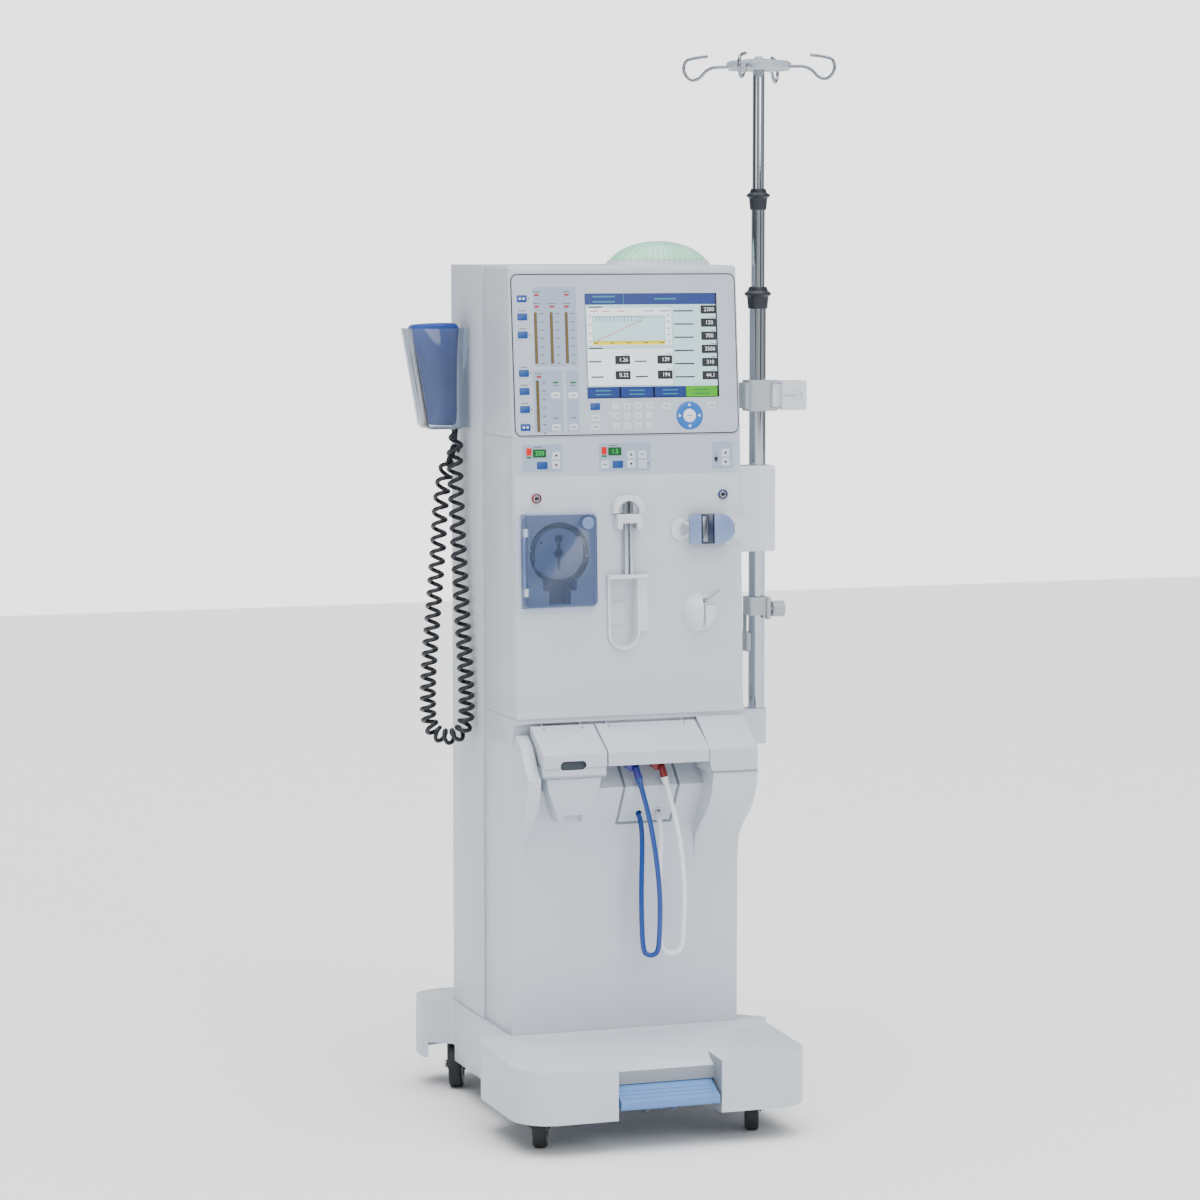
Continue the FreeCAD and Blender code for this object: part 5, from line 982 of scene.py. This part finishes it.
def make_strip():
    """Keys and displays of the module's foil."""
    plate, round_plate, line_round, numbers = on_panel(MODULE, "strip_")
    foil = FOIL_OUT
    field = foil + FIELD_THICK
    line_round("seam", -182.2, 182.2, 1012.8, 1067.2, 8, 0.7, foil - 0.3, 0.35, KEY_LIGHT)
    for name, x, z, width, height in (
            ("left", -139.2, 1038.5, 64, 41.5),
            ("middle", -6, 1038, 84, 44),
            ("right", 154, 1038, 34, 42)):
        plate("field_" + name, [(x, z)], width, height, foil, FIELD_THICK, 2.5, FOIL_FIELD)
    plate("red_displays", [(-160.5, 1048.5), (-39.6, 1048.2)], 8.4, 11.4, field, 0.35, 0.8, DISPLAY_RED)
    plate("lamps", [(-160.5, 1040), (-39.6, 1039.9)], 8, 2.6, field, 0.3, 0.6, LED_GREEN)
    plate("displays", [(-143.7, 1046), (-22.3, 1047)], 21.4, 12.4, field, 0.35, 0.8, DISPLAY_GREEN)
    numbers("numbers", [("250", -143.4, 1046), ("1.5", -22, 1047)], 9.5, field + 0.37, NUMERAL_GREEN)
    numbers("red_numbers", [("1", -160.3, 1048.5), ("0", -39.5, 1048.2)], 9, field + 0.37, LED_RED)
    plate("lines", [(-146, 1055.6), (-25, 1056)], 14, 1.2, field, 0.06, 0.3, PRINT)
    plate("blue_keys", [(-139.4, 1027.6), (-17.5, 1027)], 17, 11.4, field, 0.5, 1.4, KEY_BLUE, edge=0.3)
    arrows = [(-116.9, 1042.2), (4.2, 1041.6), (159.2, 1041.6)]
    lows = [(-117, 1028.1), (4.2, 1027.5), (159.2, 1027.7)]
    keys = arrows + lows + [(22.6, 1041.7), (22.6, 1026.7), (-38.4, 1027.4)]
    plate("pale_keys", keys, 13, 12, field, 0.35, 1.4, KEY_LIGHT, edge=0.2)
    round_plate("up_arrows", arrows, 2.9, field + 0.35, 0.08, PRINT_DARK, sides=3)
    round_plate("down_arrows", lows, 2.9, field + 0.35, 0.08, PRINT_DARK, sides=3, turn=180)
    plate("key_lines", [(22.6, 1041.7), (-38.4, 1027.4)], 7.4, 1.3, field + 0.35, 0.06, 0.4, PRINT)
    round_plate("key_ring", [(22.2, 1026.7)], 4, field + 0.35, 0.08, PRINT, sides=32, bore=3.4)
    round_plate("key_dot", [(31.8, 1027)], 1.2, field, 0.2, PRINT_DARK, sides=16)
    round_plate("drop", [(143.6, 1033)], 3.1, field, 0.1, PRINT_DARK, sides=24)
    round_plate("drop_tip", [(143.6, 1029.6)], 3.1, field, 0.09, PRINT_DARK, sides=3, turn=180)
    round_plate("drop_chamber", [(143.6, 1040.5)], 2.9, field, 0.1, PRINT, sides=24, bore=2.4)


make_console()
make_picture()
make_strip()


# Blood pump, ports, infusion pump, air detector and line clamp

def make_pump():
    """Blood pump behind its tinted door."""
    def behind_door(p):
        return DOOR_LEFT < p.x < DOOR_RIGHT and DOOR_FOOT < p.z < DOOR_TOP and p.y < -110

    def in_raceway_shade(p):
        near = math.hypot(p.x - PUMP_X, p.z - PUMP_Z) < RACE_RADIUS
        return near and MODULE[0] - p.y < 7.5 and p.z > NECK_FOOT

    def on_rim(p):
        edge = min(p.x - DOOR_LEFT, DOOR_RIGHT - p.x, p.z - DOOR_FOOT, DOOR_TOP - p.z)
        return edge < DOOR_RIM_WIDTH

    def on_pin(p):
        near_lug = min(abs(p.z - z) for z in LUG_ZS) < 7.6
        return near_lug and math.hypot(p.x - PIN_X, p.y - MODULE[0] + PIN_OUT) < 1.8
    housing = moulded("pump_housing", MOULDING, 0.7)
    paint_at(housing, PUMP_INNER, behind_door, MODULE)
    # Painted shade: the raceway round the rotor is painted dark for the deep shade there
    paint_at(housing, RACEWAY_PAINTED_SHADE, in_raceway_shade, MODULE)
    moulded("pump_rotor", ROTOR, 0.4)
    moulded("rotor_crank", CRANK, 0.4)
    finish_node("pump_roller_1", STEEL_WIRE)
    finish_node("pump_roller_2", STEEL_WIRE)
    body = body_of("pump_rotor")
    disc("rotor_dots", [(-144.1, 910), (-88.4, 876)], 1.7, 5.0, 0.3, CRANK, MODULE, body, sides=20)
    disc("rotor_centre_ring", [(PUMP_X, PUMP_Z)], 7.4, 5.0, 0.5, CRANK, MODULE, body, edge=0.15, bore=6.2)
    disc("rotor_top_ring", [(PUMP_X, 916)], 6.6, 5.0, 0.5, CRANK, MODULE, body, edge=0.15, bore=5.5)
    tile("raceway_clips", [(-164.5, 899), (-67.8, 888)], 6, 3.4, -8, 14, 1.0, MOULDING, MODULE, edge=0.3)
    door = moulded("pump_door", DOOR_CLEAR, 0.6)
    paint_at(door, DOOR_RIM, on_rim, MODULE)
    paint_at(door, CHROME, on_pin, MODULE)
    moulded("door_knob", KNOB_BLUE, 0.4)
    disc("door_knob_ring", [(-72, 939)], 11.2, 12.0, 0.9, DOOR_RIM, MODULE, body_of("pump_door"), edge=0.2,
         bore=9.9)


def make_ports():
    """Pressure ports: red ring and blue ring round bright nipples."""
    ports = moulded("pressure_ports", RING_RED, 0.3)
    paint_at(ports, RING_BLUE, lambda p: p.x > 0)
    paint_at(ports, PORT_METAL, lambda p: min(math.hypot(p.x - x, p.z - PORT_Z) for x in PORT_XS) < 3.4,
             MODULE)
    disc("port_seats", [(x, PORT_Z) for x in PORT_XS], 5.3, 1.5, 0.4, MOULDING, MODULE, edge=0.15, bore=3.2)


def make_heparin():
    """Guide of the syringe pump, with its two bright rods."""
    def on_rod(p):
        return math.hypot(min(abs(p.x - x) for x in ROD_XS), p.y - MODULE[0] + ROD_OUT) < 3.75
    paint_at(moulded("heparin_guide", MOULDING, 0.6), CHROME, on_rod, MODULE)


def make_detector():
    """Air detector and line clamp."""
    def in_channel(p):
        return 109.5 < p.x < 134.5 and p.y < -132 and abs(p.z - 925) < 27
    paint_at(moulded("air_detector_body", MOULDING, 0.6), NAVY, in_channel, MODULE)
    cover = moulded("detector_cover", DETECTOR_BLUE, 0.6)
    paint_at(cover, NAVY, lambda p: 110.8 < p.x < 133.2 and p.y > -149, MODULE)
    plate = partial(tile, face=MODULE, body=body_of("detector_cover"))
    plate("detector_slot_frame", [(118.2, 925)], 12.5, 42, 17.3, 0.5, 1.5, NAVY, edge=0.15)
    plate("detector_slot", [(118.2, 925)], 8.6, 38.5, 17.8, 0.5, 1.2, STEEL_WIRE, edge=0.15)
    plate("detector_slot_lips", [(111.9, 925), (132.2, 925)], 1.8, 45, 17.3, 2.1, 0.5, NAVY, edge=0.3)
    plate("detector_hinge_ribs", [(83.6 + 1.9 * i, 925) for i in range(5)], 1.1, 19, 12.0, 6.2, 0.3,
          GREY_PART, edge=0.25)
    plate("detector_hinge_block", [(87.4, 925)], 10.2, 17.6, 12.0, 5.2, 1.0, GREY_PART, edge=0.3)
    moulded("clamp_lever", STEEL_WIRE, 0.3)


make_pump()
make_ports()
make_heparin()
make_detector()


# Couplings bay: finger grip, seals, tube outlets and sleeves

def make_bay():
    """Couplings bay: grip, seals, outlet rims and strain reliefs."""
    # A dark plate of painted shade in the finger grip's opening
    tile("grip_shade_plate", [(-116, 575)], 44, 16, 187.4, 1.4, 7.5, GRIP_PAINTED_SHADE, UPRIGHT, edge=0.6)
    bead("tray_seal", [at(-62.6, -191.4, 557), at(-100, -191.6, 556.2), at(-150, -191.6, 556.2),
                       at(-161, -191.4, 556.6), at(-165.2, -189.5, 561), at(-165.6, -181, 572),
                       at(-165.6, -168, 588), at(-165.6, -154, 600), at(-165.6, -141, 608)], 0.9, GASKET)
    bead("right_cover_seal", [at(105.9, -168, 588), at(105.9, -184, 580), at(106.2, -189.4, 566),
                              at(108.5, -189.7, 555.5), at(116, -189.7, 554.6), at(150, -189.7, 554.6),
                              at(185.6, -189.7, 554.6)], 0.8, GASKET)
    tile("holder_mark", [(-115, 536)], 9, 1.4, 172.6, 0.5, 0.5, PRINT, UPRIGHT)
    for name, x in (("blue", 16), ("white", 47)):
        bpy.ops.mesh.primitive_torus_add(major_radius=0.0062, minor_radius=0.0013, major_segments=40,
                                         minor_segments=12, location=at(x, -117.2, 487),
                                         rotation=(math.radians(90 + 31.5), 0, 0))
        rim = named(name + "_outlet_rim")
        settle(rim)
        bpy.ops.object.shade_smooth()
        rim.data.materials.append(MOULDING)
        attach(rim, "machine")
    for name, route, finish in (("blue", BLUE_ROUTE, TUBE_BLUE), ("white", WHITE_ROUTE, TUBE_WHITE)):
        start = at(*route[0])
        way = (at(*route[1]) - start).normalized()
        sleeve(name + "_sleeve", start, start + way * 0.014, 6.2, 4.6, finish)
    top = at(*HOSE_ROUTE[0])
    sleeve("hose_top_sleeve", top, at(*HOSE_ROUTE[1]) + Vector((0, 0, 0.014)), 6.0, 4.1, HOSE_BLACK)
    end = at(*HOSE_ROUTE[-1])
    back = (at(*HOSE_ROUTE[-2]) - end).normalized()
    sleeve("hose_plug_sleeve", end, end + back * 0.018, 5.4, 4.1, HOSE_BLACK)
    tile("module_lip", [(0, 646.2)], 371.4, 10.4, 0, 1.3, 0, HOUSING, MODULE, edge=1.2)


# Base: pedal, comb and casters

CASTERS = {"front_left": (-172, -204), "front_right": (172, -204), "rear_left": (-172, 228),
           "rear_right": (172, 228)}
CASTER_TURN = 22
AXLE_BACK = 20
AXLE_Z = 37


def make_base():
    """Pedal with its comb; wheels with their zinc discs and axle nuts."""
    pedal = moulded("brake_pedal", PEDAL_BLUE, 0.9)
    paint_at(pedal, PEDAL_DARK, lambda p: p.z < 83 and p.y > -266)
    for corner, (x, y) in CASTERS.items():
        moulded(corner + "_fork", FORK, 0.6)
        wheel = moulded(corner + "_wheel", TYRE, 0.5)
        centre = at(x, y, 0)
        turn = Matrix.Rotation(math.radians(CASTER_TURN), 4, "Z")
        upright = Matrix.Translation(centre) @ turn @ Matrix.Translation(-centre)

        def on_hub(face):
            p = drawn_place(upright @ face.center)
            return math.hypot(p.y - y + AXLE_BACK, p.z - AXLE_Z) < 25.2
        paint(wheel, HUB_GREY, on_hub)
        nuts = []
        for side in (-1, 1):
            bpy.ops.mesh.primitive_cylinder_add(vertices=6, radius=0.0066, depth=0.003,
                                                location=at(x + side * 17.3, y - AXLE_BACK, AXLE_Z),
                                                rotation=(0, math.pi / 2, 0))
            nut = bpy.context.object
            nut.matrix_world = upright.inverted() @ nut.matrix_world
            settle(nut)
            bevel_edges(nut, 0.5, 2, 30)
            nuts.append(nut)
        join(nuts[0], nuts[1:])
        nuts[0].name = corner + "_axle_nuts"
        nuts[0].data.materials.append(STEEL_WIRE)
        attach(nuts[0], body_of(corner + "_fork"))


make_bay()
make_base()


# Infusion pole

def make_pole():
    """Chrome tubes with navy collars, wire hooks in a frosted hub, and the holder's small parts."""
    for node, low, high, radius in (("pole_lower_tube", 1262, 1296, 13.2),
                                    ("pole_middle_tube", 1415, 1448, 10.7)):
        def on_collar(p):
            wide = math.hypot(p.x - POLE_X, p.y - POLE_Y) > radius - 3.3
            return wide and low - 0.5 < p.z < high + 0.5
        paint_at(moulded(node, CHROME, 0.4), COLLAR, on_collar)
    moulded("pole_top_tube", CHROME, 0.3)

    def on_hook(p):
        reach = math.hypot(p.x - POLE_X, p.y - POLE_Y)
        return reach > 50.3 or (40 < reach < 42.5 and abs(p.z - 1636) < 2.7)
    paint_at(moulded("hook_head", HUB_CLEAR, 0.4), STEEL_WIRE, on_hook)
    bpy.ops.mesh.primitive_cylinder_add(vertices=24, radius=0.0032, depth=0.006, location=at(193, -82, 881.2))
    buffer = named("bracket_buffer")
    settle(buffer)
    bevel_edges(buffer, 1.0, 3, 40)
    buffer.data.materials.append(TYRE)
    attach(buffer, body_of("pole_bracket"))
    tile("holder_arm_line", [(276, 1127)], 26, 1.6, 84.0, 0.25, 0.6, GREY_PART, UPRIGHT,
         body_of("holder_arm"))


make_pole()


# Cuff in its basket and the hose socket

# The farthest that the air moves the cloth, in metres
CUFF_PUFF = 0.0035


def make_cuff():
    """Folded cuff: the drawn pad remeshed, filled with air and creased."""
    pad = start_copy("pressure_cuff", "cuff_cloth")
    bpy.ops.mesh.normals_make_consistent(inside=False)
    mode("OBJECT")
    middle = at(-235, 128.5, 1158)
    shrink = Matrix.Diagonal((0.95, 0.82, 0.99, 1))
    pad.data.transform(Matrix.Translation(middle) @ shrink @ Matrix.Translation(-middle))
    pad.data.remesh_voxel_size = 0.005
    bpy.ops.object.voxel_remesh()
    before = [v.co.copy() for v in pad.data.vertices]
    air = pad.modifiers.new("air", "CLOTH")
    air.settings.use_pressure = True
    air.settings.uniform_pressure_force = 4
    air.settings.effector_weights.gravity = 0
    for step in range(1, 21):
        bpy.context.scene.frame_set(step)
    bpy.ops.object.modifier_apply(modifier=air.name)
    bpy.context.scene.frame_set(1)
    for vertex, old in zip(pad.data.vertices, before):
        moved = vertex.co - old
        if moved.length > CUFF_PUFF:
            vertex.co = old + moved.normalized() * CUFF_PUFF
    shape_by(pad, "SUBSURF", levels=1, render_levels=1)
    for vertex in pad.data.vertices:
        p = drawn_place(vertex.co)
        fold = math.sin(p.z / 9.5 + p.x / 14) * math.sin(p.z / 23 + 0.7) * 0.0009
        vertex.co.y += fold
    bpy.ops.object.shade_smooth()
    give(pad, CUFF_CLOTH)
    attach(pad, body_of("pressure_cuff"))
    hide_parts("pressure_cuff")


make_cuff()
moulded("cuff_basket", BASKET_CLEAR, 0.7)
moulded("hose_connector", HOSE_BLACK, 0.4)


# Floor, surroundings and light

def make_floor():
    """White paper under the machine."""
    floor = surface("seamless paper", "FAFAFB", "F7F8F9", (0.8, 0.9), 8, 0.02)
    bpy.ops.mesh.primitive_plane_add(size=16, location=(0, 0, 0))
    paper = named("studio_floor")
    paper.data.materials.append(floor)


def soft_light(name, place, size, power):
    """A round area light turned to the machine's middle."""
    lamp = bpy.data.lights.new(name, "AREA")
    lamp.shape = "DISK"
    lamp.size = size
    lamp.energy = power
    light = linked(name, lamp)
    light.location = place
    light.rotation_euler = (Vector((0, 0, 0.8)) - Vector(place)).to_track_quat("-Z", "Y").to_euler()


def make_sky():
    """Soft white surroundings with a darker stretch at one side, which chrome needs to show its roundness."""
    world = bpy.data.worlds.new("white studio")
    world.use_nodes = True
    tree = world.node_tree
    tree.nodes.clear()
    way = add(tree, "ShaderNodeTexCoord")
    parts = add(tree, "ShaderNodeSeparateXYZ", {"Vector": way.outputs["Generated"]})
    side = add(tree, "ShaderNodeMapRange", {"Value": parts.outputs["X"], "From Min": -1.0, "From Max": 1.0})
    ramp = add(tree, "ShaderNodeValToRGB", {"Fac": side.outputs["Result"]})
    stops = ramp.color_ramp.elements
    stops[0].position = 0.0
    stops[0].color = (0.20, 0.21, 0.24, 1)
    stops[1].position = 1.0
    stops[1].color = (0.35, 0.36, 0.40, 1)
    for place, shade in ((0.12, 0.25), (0.22, 0.80), (0.50, 1.0), (0.60, 0.95), (0.66, 0.05), (0.74, 0.05),
                         (0.80, 0.95), (0.92, 0.90)):
        stop = stops.new(place)
        stop.color = (shade * 0.97, shade * 0.99, shade, 1)
    soft = add(tree, "ShaderNodeBackground", {"Color": ramp.outputs["Color"], "Strength": 0.85})
    paper = add(tree, "ShaderNodeBackground", {"Color": (1, 1, 1, 1), "Strength": 2.6})
    path = add(tree, "ShaderNodeLightPath")
    seen = add(tree, "ShaderNodeMixShader", {0: path.outputs["Is Camera Ray"], 1: soft.outputs[0],
                                             2: paper.outputs[0]})
    add(tree, "ShaderNodeOutputWorld", {"Surface": seen.outputs[0]})
    bpy.context.scene.world = world


def make_studio():
    """Floor, surroundings, two area lights and an even light from above."""
    make_floor()
    make_sky()
    soft_light("key_light", (1.2, -4.6, 3.0), 2.2, 72)
    soft_light("side_light", (-4.4, -2.2, 2.4), 2.0, 30)
    overhead = bpy.data.lights.new("overhead", "SUN")
    overhead.energy = 4.4
    overhead.angle = math.radians(70)
    roof = linked("overhead", overhead)
    roof.location = (0, 0, 5)
    roof.rotation_euler = (math.radians(8), 0, 0)


make_studio()
